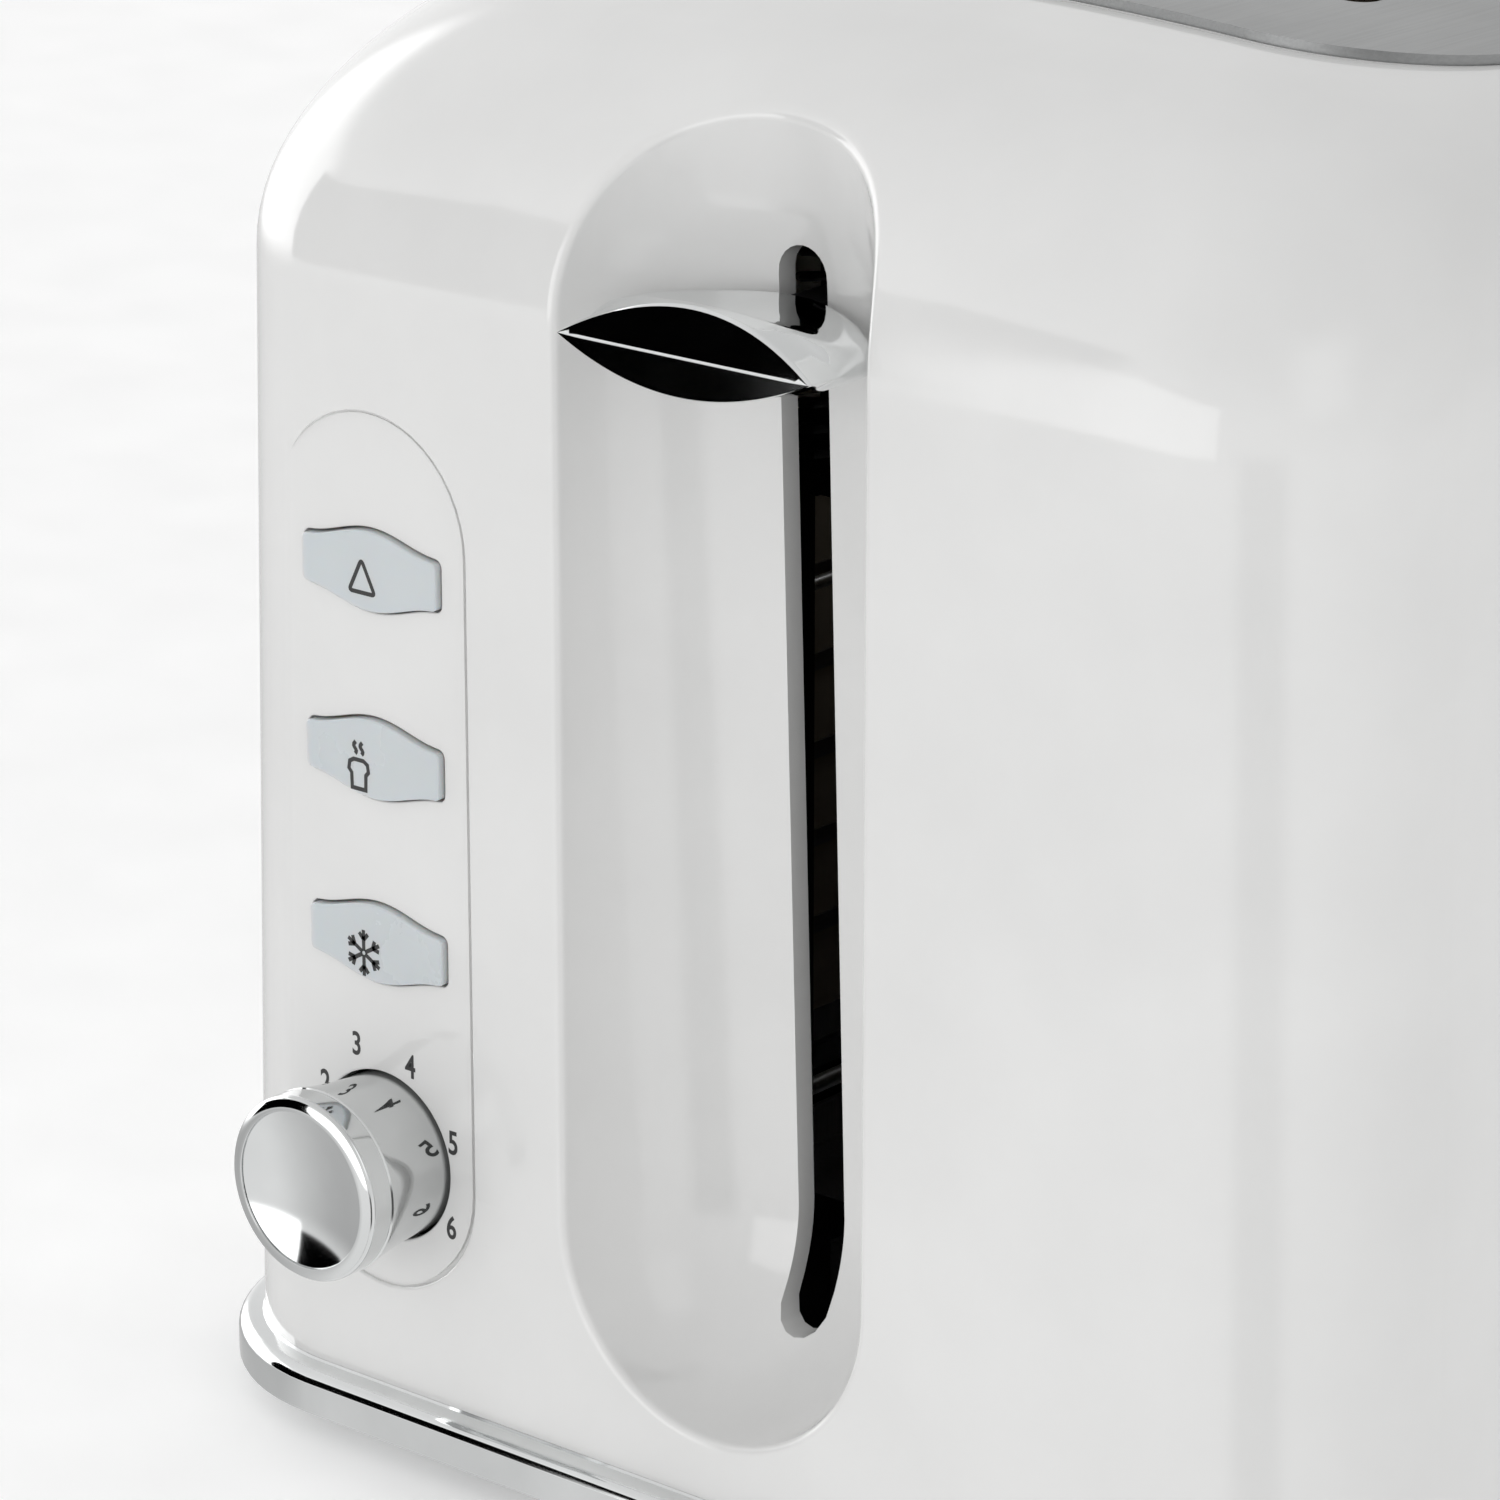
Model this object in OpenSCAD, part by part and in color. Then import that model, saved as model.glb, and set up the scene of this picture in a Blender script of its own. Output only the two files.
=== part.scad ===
// Two-slice pop-up toaster with one moulded shell, a steel top plate and a bright base ring.
// +Z is up. The end with the lever and the controls faces -Y. The origin is under the middle
// of the whole object, on the surface that its feet stand on. Lengths are millimetres.

/* [Body] */
// Width of the shell at the foot of its walls
body_w = 180; // [176:1:186]
// Length of the shell
body_l = 280; // [278:1:290]
// How far each long wall leans in towards the shoulder
wall_lean = 3.7; // [3:0.1:4]
// Thickness of the shell's wall
wall = 3; // [2.6:0.1:3.2]
// Height at which the walls end and the rounded shoulder starts
shoulder_z = 154; // [152:1:156]
// Height of the rounded shoulder
shoulder_h = 38; // [37:1:40]
// Run of the shoulder over the long walls
side_run = 18; // [17:1:20]
// Run of the shoulder over the end walls
end_run = 52; // [50:1:54]
// Plan radius of the body's corners
corner_r = 25; // [24:1:27]
// Radius of the crown across the top
crown_r = 580; // [520:10:700]

/* [Top plate] */
// Distance from the end of the shell to the edge of the top plate
plate_inset = 44.5; // [43:0.5:46]
// Half width of the top plate
plate_hw = 69; // [67:1:70]
// Length of a bread slot
bread_slot_l = 150; // [140:1:154]
// Width of a bread slot
bread_slot_w = 32; // [28:1:34]
// Distance between the middles of the two bread slots
bread_pitch = 58; // [56:1:60]

/* [Base] */
// Height of the feet below the base plate
foot_h = 6; // [5:0.5:6]
// Height of the bright base ring
ring_h = 6.4; // [6:0.2:7]
// How far the base ring stands out from the shell
ring_out = 3.5; // [3:0.1:4]

/* [Lever end] */
// Radius of the scoop that the lever slides in
scoop_r = 23.4; // [22:0.2:24]
// Height of the centre of the scoop's round foot
scoop_low_z = 41.7; // [40:0.5:44]
// Width of the slot in the scoop
lever_slot_w = 7.3; // [7:0.1:8]
// Middle height of the lever at rest
lever_z = 155.6; // [154:0.2:156]
// Travel of the lever
lever_travel = 110; // [100:1:110]
// Half width of the lever's handle
lever_hw = 19.2; // [18:0.2:20]

/* [Controls] */
// Distance of the control panel from the middle of the end
panel_x = 54; // [53:0.5:55]
// Width of the recessed control panel
panel_w = 31.8; // [31:0.2:32]
// Depth of the recessed control panel
panel_depth = 0.6; // [0.4:0.1:0.8]
// Width of a push button
button_w = 22.4; // [21:0.2:23]
// Height of a push button in its middle
button_h = 10.2; // [9:0.2:10.6]
// Distance between the middles of neighbouring buttons
button_pitch = 24.2; // [23.6:0.2:24.6]
// How far a button stands out from the end face
button_out = 0.2; // [0.1:0.1:0.6]
// Travel of a button
button_travel = 1.2; // [0.8:0.1:1.3]
// How far the knob stands out from the end face
knob_out = 14.7; // [13:0.1:15]
// Radius of the knob's shaft
knob_r = 11; // [10.4:0.1:11.2]

/* [Rear] */
// Half width of the crumb tray
tray_hw = 56; // [50:1:57]
// Radius of the hole for the mains cord
cord_hole_r = 3.6; // [3:0.1:4]

/* [Hidden] */
$fn = 48;
eps = 0.01;

// Frame: the body's middle lies back from the origin, because the knob reaches further out
// in front than the cord gland does behind.
gland_out = 4;
centre_y = (knob_out - gland_out) / 2;
half_l = body_l / 2;
half_w = body_w / 2;
shell_z0 = foot_h - 2 + ring_h;
top_z = shoulder_z + shoulder_h;
shoulder_steps = 10;
corner_steps = 9;
corner_gain = 3;

// Top plate
plate_t = 1.2;
plate_up = 0.8;
plate_r = 26;
plate_hl = half_l - plate_inset;
plate_z = top_z + plate_up;
lip_h = 6;
rebate_gap = 0.3;
ledge_w = 5;

// Base
floor_z = foot_h;
floor_t = 2.4;
ring_step = 1.2;
foot_r = 9;
foot_x = 62;
foot_y = 108;
screw_x = 74;
screw_y = 112;
boss_r = 4;
boss_top = 26;
screw_head_h = 1.6;

// Scoop, slot and lever
scoop_axis_out = 1.4;
scoop_depth_top = 19.4;
scoop_dome = 46;
slot_low_z = 26.5;
slot_high_z = 164.3;
arm_hw = 2.6;
arm_h = 4.4;
handle_hh = 5.25;
handle_out = 5;
handle_ridge = 0.5;
handle_foot_lean = 0.6;
handle_head_lean = 2.9;
handle_body_hh = 3;
handle_gap = 1.6;

// Controls
panel_low_z = 24.1;
panel_high_z = 138.5;
button_low_z = 70;
window_gap = 0.4;
knob_z = 41.5;
knob_hole_r = 11.6;
knob_cap_r = 12.1;
knob_dish_r = 11.2;
knob_dish = 2.6;
spindle_r = 2.95;
pcb_y = -half_l + 19;
pcb_t = 1.6;
pot_y = pcb_y - 8;
tact_y = pcb_y - 4;
flange_gap = 0.8;
flange_y = -half_l + wall + flange_gap;
flange_t = 1.2;
flange_w = 1.4;
stem_r = 2;
led_x = 8;
led_r = 1.5;

// Toasting chamber
chamber_hl = 82;
sheet = 1;
chamber_hw = 64;
chassis_z0 = 14;
chassis_z1 = 184;
heater_x = 58;
heater_z0 = 34;
heater_z1 = 160;
mica_t = 1;
ribbon_t = 0.4;
ribbon_w = 2.4;
ribbon_turns = 9;
guard_off = 17;
guard_z0 = 30;
guard_z1 = 176;
guard_wire_r = 0.9;
weld_gap = 0.02;
pivot_r = 1.2;
running_gap = 0.06;

// Carriage and its drive
rod_x = 26;
rod_y = -98;
rod_r = 2.5;
shelf_low_z = 10;
shelf_high_z = 168;
shelf_y = -107;
carriage_y = -93.5;
carriage_t = 1.5;
carriage_z0 = 124;
carriage_z1 = 160;
bush_z0 = 136;
rack_z0 = 134;
rack_z1 = 142;
spring_x = 16.5;
spring_r = 3.4;
spring_wire_r = 0.5;
spring_turns = 12;
spring_z0 = 128.7;
armature_z = 140;
armature_t = 3;
magnet_gap = 0.3;

// Crumb tray
tray_z = 14.6;
tray_t = 0.8;
tray_wall_z = 21;
tray_y0 = -76;
tray_y1 = half_l - wall - 1;
handle_z0 = 12;
handle_z1 = 24;
window_low_z = 11.6;
window_high_z = 24.6;

// Rear
gland_z = 44;
gland_len = 16;
gland_r = 6;
gland_flange_r = 8;
terminal_hw = 18;
terminal_pitch = 10;
terminal_z0 = 50;
terminal_z1 = 64;

// ---------------------------------------------------------------- helpers

// Moves body-centred shapes into the object's own frame
module in_frame() {
    translate([0, centre_y, 0]) children();
}

// Box between two values along each axis
module box(x, y, z) {
    translate([x[0], y[0], z[0]])
        cube([x[1] - x[0], y[1] - y[0], z[1] - z[0]]);
}

// Cylinder along Y from y0 to y1
module rod_along_y(r, y0, y1) {
    translate([0, y0, 0])
        rotate([-90, 0, 0])
            cylinder(r = r, h = y1 - y0);
}

// Rectangle with round corners, made of plain pieces so that its corners stay true arcs
module round_rect(hw, hl, r) {
    square([2 * hw, 2 * (hl - r)], center = true);
    square([2 * (hw - r), 2 * hl], center = true);
    for (sx = [-1, 1], sy = [-1, 1])
        translate([sx * (hw - r), sy * (hl - r)])
            circle(r = r);
}

// Upright slab with round corners
module slab(hw, hl, r, z0, z1) {
    translate([0, 0, z0])
        linear_extrude(z1 - z0)
            round_rect(hw, hl, r);
}

// Everything below the crowned surface that is z high on the middle line
module below_crown(z) {
    translate([0, half_l, z - crown_r])
        rotate([90, 0, 0])
            cylinder(r = crown_r, h = body_l, $fn = 360);
}

// Straight slot with round ends through the end wall, standing upright
module upright_slot(w, z0, z1, y0, y1) {
    hull()
        for (z = [z0 + w / 2, z1 - w / 2])
            translate([0, 0, z])
                rod_along_y(w / 2, y0, y1);
}

// ---------------------------------------------------------------- shell

// Half width, half length, corner radius and height of one section of the shell
function foot_section(off, z) = [half_w - off, half_l - off, corner_r - off, z, 0];
function shoulder_section(a, off) = [
    half_w - wall_lean - side_run * (1 - cos(a)) - off,
    half_l - end_run * (1 - cos(a)) - off,
    corner_r + corner_gain * (1 - cos(a)) - off,
    shoulder_z + (shoulder_h - off) * sin(a),
    sin(a)
];
function section_ring(s) = [
    for (q = [0 : 3], i = [0 : corner_steps])
        let (
            a = -180 + 90 * q + 90 * i / corner_steps,
            sx = (q == 0 || q == 3) ? -1 : 1,
            sy = (q < 2) ? -1 : 1,
            x = sx * (s[0] - s[2]) + s[2] * cos(a),
            y = sy * (s[1] - s[2]) + s[2] * sin(a)
        )
        [x, y, s[3] - s[4] * x * x / (2 * crown_r)]
];
ring_n = 4 * (corner_steps + 1);

// The shell's outer form, or its hollow when off is the wall's thickness
module shell_form(off, z0) {
    sections = concat(
        [foot_section(off, z0)],
        [for (k = [0 : shoulder_steps]) shoulder_section(90 * k / shoulder_steps, off)]
    );
    last = len(sections) - 1;
    rings = [for (s = sections) each section_ring(s)];
    sides = [
        for (k = [0 : last - 1], i = [0 : ring_n - 1])
            let (
                a = k * ring_n + i,
                b = k * ring_n + (i + 1) % ring_n
            )
            each [[a, a + ring_n, b + ring_n], [a, b + ring_n, b]]
    ];
    lid = [
        for (i = [0 : ring_n - 1])
            [last * ring_n + (i + 1) % ring_n, last * ring_n + i, len(rings)]
    ];
    polyhedron(
        points = concat(rings, [[0, 0, sections[last][3]]]),
        faces = concat([[for (i = [0 : ring_n - 1]) i]], sides, lid)
    );
}

// Scoop for the lever: a round foot, straight flanks and a long domed head
module scoop_form(grow) {
    hull() {
        translate([0, -half_l - scoop_axis_out, scoop_low_z])
            sphere(r = scoop_r + grow);
        translate([0, -half_l - scoop_axis_out, shoulder_z])
            scale([1, (scoop_depth_top + grow) / (scoop_r + grow), scoop_dome / scoop_r])
                sphere(r = scoop_r + grow);
    }
}

// Recess of the control panel
module panel_recess() {
    translate([-panel_x, 0, 0])
        upright_slot(panel_w, panel_low_z, panel_high_z, -half_l - 5, -half_l + panel_depth);
}

// Outline of a push button: full in its middle, with blunt ends
module button_outline(grow) {
    steps = 16;
    half = button_w / 2;
    end_h = button_h * 0.3;
    function edge(u) = end_h + (button_h / 2 - end_h) * (0.5 + 0.5 * cos(180 * u));
    upper = [for (k = [-steps : steps]) [k / steps * (half + grow), edge(k / steps) + grow]];
    lower = [for (k = [-steps : steps]) [-k / steps * (half + grow), -edge(k / steps) - grow]];
    polygon(concat(upper, lower));
}

// Prism of a button's outline along Y at one of the three places
module button_prism(index, grow, y0, y1) {
    translate([-panel_x, y1, button_low_z + index * button_pitch])
        rotate([90, 0, 0])
            linear_extrude(y1 - y0)
                button_outline(grow);
}

// Top rebate and opening that take the top plate
module top_opening() {
    difference() {
        slab(plate_hw + rebate_gap, plate_hl + rebate_gap, plate_r, shoulder_z, top_z + 5);
        below_crown(plate_z - plate_t - 0.05);
    }
    slab(plate_hw - ledge_w, plate_hl - ledge_w, plate_r - ledge_w, shoulder_z, top_z + 5);
}

// Webs that join the screw bosses to the long walls
module screw_gussets() {
    for (sx = [-1, 1], sy = [-1, 1])
        hull() {
            translate([sx * screw_x, sy * screw_y, shell_z0])
                cylinder(r = boss_r - 1, h = boss_top - shell_z0, $fn = 24);
            translate([sx * (half_w - 1), sy * screw_y, shell_z0])
                cylinder(r = 1, h = boss_top - shell_z0, $fn = 24);
        }
}

// One-piece moulded shell
module housing() {
    color("white")
        in_frame()
            difference() {
                union() {
                    difference() {
                        shell_form(0, shell_z0);
                        shell_form(wall, shell_z0 - 1);
                    }
                    intersection() {
                        shell_form(0, shell_z0);
                        union() {
                            scoop_form(wall);
                            screw_gussets();
                        }
                    }
                    for (sx = [-1, 1], sy = [-1, 1])
                        translate([sx * screw_x, sy * screw_y, floor_z + floor_t])
                            cylinder(r = boss_r, h = boss_top - floor_z - floor_t, $fn = 24);
                }
                scoop_form(0);
                upright_slot(lever_slot_w, slot_low_z, slot_high_z, -half_l, rod_y - 10);
                panel_recess();
                for (index = [0 : 2])
                    button_prism(index, window_gap, -half_l - 1, -half_l + wall + 1);
                translate([-panel_x, 0, knob_z])
                    rod_along_y(knob_hole_r, -half_l - 1, -half_l + wall + 1);
                top_opening();
                box([-tray_hw - 2, tray_hw + 2], [half_l - 10, half_l + 1],
                    [window_low_z, window_high_z]);
                translate([0, 0, gland_z])
                    rod_along_y(gland_r + 0.2, half_l - 10, half_l + 1);
                for (sx = [-1, 1], sy = [-1, 1])
                    translate([sx * screw_x, sy * screw_y, floor_z])
                        cylinder(r = 1.65, h = boss_top - floor_z - 3, $fn = 16);
            }
}

// Brushed steel top plate with two bread slots and turned-down lips
module top_plate() {
    color("lightslategray")
        in_frame()
            difference() {
                intersection() {
                    slab(plate_hw, plate_hl, plate_r, shoulder_z, top_z + 5);
                    difference() {
                        below_crown(plate_z);
                        difference() {
                            below_crown(plate_z - plate_t);
                            for (side = [-1, 1])
                                translate([side * bread_pitch / 2, 0, 0])
                                    slab(bread_slot_w / 2 + sheet, bread_slot_l / 2 + sheet,
                                         3 + sheet, plate_z - plate_t - lip_h, top_z + 5);
                        }
                    }
                }
                for (side = [-1, 1])
                    translate([side * bread_pitch / 2, 0, 0])
                        slab(bread_slot_w / 2, bread_slot_l / 2, 3, shoulder_z - 1, top_z + 6);
            }
}

// ---------------------------------------------------------------- base

// Bright ring round the foot of the shell
module base_trim() {
    hw = half_w + ring_out;
    hl = half_l + ring_out;
    r = corner_r + ring_out;
    color("silver")
        in_frame()
            difference() {
                union() {
                    slab(hw, hl, r, shell_z0 - ring_h, shell_z0 - ring_step);
                    slab(hw - ring_step, hl - ring_step, r - ring_step,
                         shell_z0 - ring_step - eps, shell_z0);
                }
                slab(half_w - 8, half_l - 8, corner_r - 8, shell_z0 - ring_h - 1, floor_z + floor_t);
                slab(half_w - 14, half_l - 14, corner_r - 14, floor_z, shell_z0 + 1);
                for (sx = [-1, 1], sy = [-1, 1])
                    translate([sx * screw_x, sy * screw_y, floor_z])
                        cylinder(r = 4.4, h = 10);
            }
}

// Black base plate with vents and two rails for the crumb tray
module base_plate() {
    vent_pitch = 14;
    color("dimgray")
        in_frame()
            difference() {
                union() {
                    slab(half_w - 8.4, half_l - 8.4, corner_r - 8.4, floor_z, floor_z + floor_t);
                    for (side = [-1, 1])
                        box([side * 50 - 2, side * 50 + 2], [tray_y0, half_l - 16],
                            [floor_z + floor_t - eps, tray_z - 0.4]);
                }
                for (row = [-4 : 4], side = [-1, 1])
                    box([side * 24 - 16, side * 24 + 16], [row * vent_pitch - 2, row * vent_pitch + 2],
                        [floor_z - 1, floor_z + floor_t + 1]);
                for (sx = [-1, 1], sy = [-1, 1]) {
                    translate([sx * screw_x, sy * screw_y, floor_z - 1])
                        cylinder(r = 1.8, h = floor_t + 2);
                    translate([sx * foot_x, sy * foot_y, floor_z - 1])
                        cylinder(r = 3, h = floor_t + 2);
                }
            }
}

// Four rubber feet, each with a stud in the base plate
module feet() {
    color("black")
        in_frame()
            for (sx = [-1, 1], sy = [-1, 1])
                translate([sx * foot_x, sy * foot_y, 0]) {
                    cylinder(r = foot_r, h = floor_z);
                    cylinder(r = 2.9, h = floor_z + floor_t);
                }
}

// Four screws that hold the base plate to the shell
module base_screws() {
    color("silver")
        in_frame()
            for (sx = [-1, 1], sy = [-1, 1])
                translate([sx * screw_x, sy * screw_y, 0])
                    difference() {
                        union() {
                            translate([0, 0, floor_z - screw_head_h])
                                cylinder(r = 3.4, h = screw_head_h);
                            translate([0, 0, floor_z - 0.5])
                                cylinder(r = 1.5, h = 14);
                        }
                        for (turn = [0, 90])
                            translate([0, 0, floor_z - screw_head_h])
                                rotate([0, 0, turn])
                                    box([-2.2, 2.2], [-0.45, 0.45], [-1, 0.9]);
                    }
}

// Sheet steel crumb tray
module crumb_tray() {
    color("gainsboro")
        in_frame()
            difference() {
                box([-tray_hw, tray_hw], [tray_y0, tray_y1], [tray_z, tray_wall_z]);
                box([-tray_hw + tray_t, tray_hw - tray_t], [tray_y0 + tray_t, tray_y1 - tray_t],
                    [tray_z + tray_t, tray_wall_z + 1]);
            }
}

// Handle of the crumb tray, flush with the back of the shell
module tray_handle() {
    color("white")
        in_frame()
            difference() {
                box([-tray_hw - 1.5, tray_hw + 1.5], [tray_y1, half_l], [handle_z0, handle_z1]);
                translate([0, half_l + 12, handle_z0 - 4])
                    cylinder(r = 14, h = 12);
            }
}

// Bushing that the mains cord enters by
module cord_gland() {
    color("black")
        in_frame()
            translate([0, 0, gland_z])
                difference() {
                    union() {
                        rod_along_y(gland_r, half_l + gland_out - gland_len, half_l + 1);
                        rod_along_y(gland_flange_r, half_l, half_l + gland_out - 1);
                        rod_along_y(gland_flange_r - 1, half_l, half_l + gland_out);
                        rod_along_y(gland_flange_r, half_l - wall - 2, half_l - wall);
                    }
                    rod_along_y(cord_hole_r, half_l - gland_len, half_l + gland_out + 1);
                }
}

// ---------------------------------------------------------------- toasting chamber

// Upright end plate of the chamber with the slots and pivots that both ends share
module chassis_sheet(y) {
    difference() {
        union() {
            box([-chamber_hw, chamber_hw], [y, y + sheet], [chassis_z0 + 10, chassis_z1]);
            for (side = [-1, 1])
                box([side * 61 - 3, side * 61 + 3], [y, y + sheet], [floor_z + floor_t, chassis_z0 + 11]);
        }
        for (side = [-1, 1]) {
            box([side * bread_pitch / 2 - 3, side * bread_pitch / 2 + 3], [y - 1, y + sheet + 1],
                [chassis_z0, rack_z1 + 4]);
            for (off = [-guard_off, guard_off])
                translate([side * bread_pitch / 2 + off, 0, guard_z0])
                    rod_along_y(pivot_r + running_gap, y - 1, y + sheet + 1);
        }
    }
}

// Shelf on the front plate that holds the ends of the guide rods
module rod_shelf(z) {
    difference() {
        box([-40, 40], [shelf_y, -chamber_hl + eps], [z, z + 2]);
        for (side = [-1, 1])
            translate([side * rod_x, rod_y, z - 1])
                cylinder(r = rod_r + running_gap, h = 4);
    }
}

module chassis_front() {
    color("lightgray")
        in_frame()
            union() {
                chassis_sheet(-chamber_hl);
                rod_shelf(shelf_low_z);
                rod_shelf(shelf_high_z);
                // Strut between the lower shelf and the plate's foot
                box([-4, 4], [-chamber_hl, -chamber_hl + sheet], [shelf_low_z, chassis_z0 + 11]);
            }
}

module chassis_rear() {
    color("lightgray")
        in_frame()
            chassis_sheet(chamber_hl - sheet);
}

// Bright side wall of the chamber, with a flange along its top
module reflector(side) {
    color("whitesmoke")
        in_frame()
            union() {
                box(side > 0 ? [chamber_hw - sheet, chamber_hw] : [-chamber_hw, -chamber_hw + sheet],
                    [-chamber_hl + sheet, chamber_hl - sheet], [chassis_z0 + 12, chassis_z1]);
                box(side > 0 ? [chamber_hw - 10, chamber_hw] : [-chamber_hw, -chamber_hw + 10],
                    [-chamber_hl + sheet, chamber_hl - sheet], [chassis_z1 - sheet, chassis_z1]);
            }
}

module reflector_left() { reflector(-1); }
module reflector_right() { reflector(1); }

// Mica board that carries a heating ribbon
module heater_board(x) {
    color("burlywood")
        in_frame()
            translate([x, 0, 0])
                box([-mica_t / 2, mica_t / 2], [-chamber_hl + sheet, chamber_hl - sheet],
                    [heater_z0, heater_z1]);
}

// Heating ribbon wound round a board, with a link between neighbouring turns
module heater_wire(x) {
    pitch = (heater_z1 - heater_z0) / (ribbon_turns + 1);
    y_in = chamber_hl - 12;
    color("gray")
        in_frame()
            translate([x, 0, 0])
                for (face = [-1, 1]) {
                    outer = face * (mica_t / 2 + ribbon_t);
                    inner = face * mica_t / 2;
                    xs = face > 0 ? [inner, outer] : [outer, inner];
                    union() {
                        for (k = [1 : ribbon_turns], z = [heater_z0 + k * pitch])
                            box(xs, [-y_in, y_in], [z - ribbon_w / 2, z + ribbon_w / 2]);
                        for (k = [1 : ribbon_turns - 1])
                            box(xs, k % 2 == 0 ? [-y_in, -y_in + 3] : [y_in - 3, y_in],
                                [heater_z0 + k * pitch, heater_z0 + (k + 1) * pitch]);
                    }
                }
}

module heater_board_left() { heater_board(-heater_x); }
module heater_board_centre() { heater_board(0); }
module heater_board_right() { heater_board(heater_x); }
module heater_wire_left() { heater_wire(-heater_x); }
module heater_wire_centre() { heater_wire(0); }
module heater_wire_right() { heater_wire(heater_x); }

// Wire grid that closes on the bread, turning on the rod along its foot. Its rails lie against
// the wires on the side away from the bread.
module guard(x) {
    wire_pitch = 22;
    rail_hl = 70;
    away = abs(x) > bread_pitch / 2 ? sign(x) : -sign(x);
    color("silver")
        in_frame()
            translate([x, 0, 0]) {
                translate([0, 0, guard_z0])
                    rod_along_y(pivot_r, -chamber_hl - 2, chamber_hl + 2);
                for (z = [100, guard_z1 - guard_wire_r])
                    translate([away * (2 * guard_wire_r + weld_gap), 0, z])
                        rod_along_y(guard_wire_r, -rail_hl, rail_hl);
                for (k = [-3 : 3])
                    translate([0, k * wire_pitch, guard_z0 + pivot_r + weld_gap])
                        cylinder(r = guard_wire_r, h = guard_z1 - guard_z0 - pivot_r - weld_gap);
            }
}

module guard_left_outer() { guard(-bread_pitch / 2 - guard_off); }
module guard_left_inner() { guard(-bread_pitch / 2 + guard_off); }
module guard_right_inner() { guard(bread_pitch / 2 - guard_off); }
module guard_right_outer() { guard(bread_pitch / 2 + guard_off); }

// ---------------------------------------------------------------- lever and carriage

module guide_rods() {
    color("silver")
        in_frame()
            for (side = [-1, 1])
                translate([side * rod_x, rod_y, shelf_low_z])
                    cylinder(r = rod_r, h = shelf_high_z + 2 - shelf_low_z);
}

// Rubber rings that stop the carriage under the upper shelf
module stop_bumpers() {
    color("black")
        in_frame()
            for (side = [-1, 1])
                translate([side * rod_x, rod_y, carriage_z1 + 0.3])
                    difference() {
                        cylinder(r = 5, h = shelf_high_z - carriage_z1 - 0.3);
                        translate([0, 0, -1])
                            cylinder(r = rod_r + running_gap, h = 20);
                    }
}

// Helix of round wire from z0 to z1, closed at both ends
module helix(r, wire_r, turns, z0, z1) {
    per_turn = 10;
    sides = 5;
    n = turns * per_turn;
    points = [
        for (k = [0 : n], i = [0 : sides - 1])
            let (
                a = 360 * k / per_turn,
                b = 360 * i / sides,
                d = r + wire_r * cos(b),
                z = z0 + wire_r + (z1 - z0 - 2 * wire_r) * k / n
            )
            [d * cos(a), d * sin(a), z + wire_r * sin(b)]
    ];
    walls = [
        for (k = [0 : n - 1], i = [0 : sides - 1])
            let (
                a = k * sides + i,
                b = k * sides + (i + 1) % sides
            )
            each [[a, a + sides, b + sides], [a, b + sides, b]]
    ];
    polyhedron(
        points = points,
        faces = concat(
            walls,
            [[for (i = [0 : sides - 1]) i]],
            [[for (i = [0 : sides - 1]) n * sides + sides - 1 - i]]
        )
    );
}

// Pair of extension springs that lift the carriage
module lift_springs() {
    color("gray")
        in_frame()
            for (side = [-1, 1])
                translate([side * spring_x, rod_y, 0])
                    helix(spring_r, spring_wire_r, spring_turns, spring_z0, shelf_high_z - 0.2);
}

// Steel plate that joins the lever, the bushes and the racks
module carriage() {
    color("lightgray")
        in_frame()
            union() {
                box([-36, 36], [carriage_y, carriage_y + carriage_t], [carriage_z0, carriage_z1]);
                for (side = [-1, 1])
                    translate([side * spring_x, 0, spring_z0 - 1.4])
                        rod_along_y(1.2, rod_y - 2, carriage_y + eps);
            }
}

module carriage_bushes() {
    color("ivory")
        in_frame()
            for (side = [-1, 1])
                difference() {
                    box([side * rod_x - 5, side * rod_x + 5], [rod_y - 5, carriage_y],
                        [bush_z0, carriage_z1]);
                    translate([side * rod_x, rod_y, bush_z0 - 1])
                        cylinder(r = rod_r + running_gap, h = 40);
                }
}

// Flat steel arm from the carriage through the slot into the handle
module lever_arm() {
    color("dimgray")
        in_frame()
            box([-arm_hw, arm_hw], [-half_l + 2, carriage_y], [lever_z - arm_h / 2, lever_z + arm_h / 2]);
}

// Leaf-shaped slice of the handle between two places along Y
module handle_leaf(hw, hh, y0, y1) {
    r = (hw * hw + hh * hh) / (2 * hh);
    translate([0, y1, lever_z])
        rotate([90, 0, 0])
            linear_extrude(y1 - y0)
                intersection() {
                    translate([0, hh - r]) circle(r = r, $fn = 180);
                    translate([0, r - hh]) circle(r = r, $fn = 180);
                }
}

// Front of the handle: a leaf whose face breaks along a low ridge and leans back above it
module handle_front() {
    face_y = -half_l - handle_out;
    intersection() {
        handle_leaf(lever_hw, handle_hh, face_y, -half_l);
        translate([-lever_hw, 0, lever_z])
            rotate([90, 0, 90])
                linear_extrude(2 * lever_hw)
                    polygon([
                        [-half_l, -handle_hh],
                        [face_y, -handle_hh],
                        [face_y + handle_foot_lean, -handle_ridge],
                        [face_y + handle_head_lean, handle_hh],
                        [-half_l, handle_hh]
                    ]);
    }
}

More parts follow.
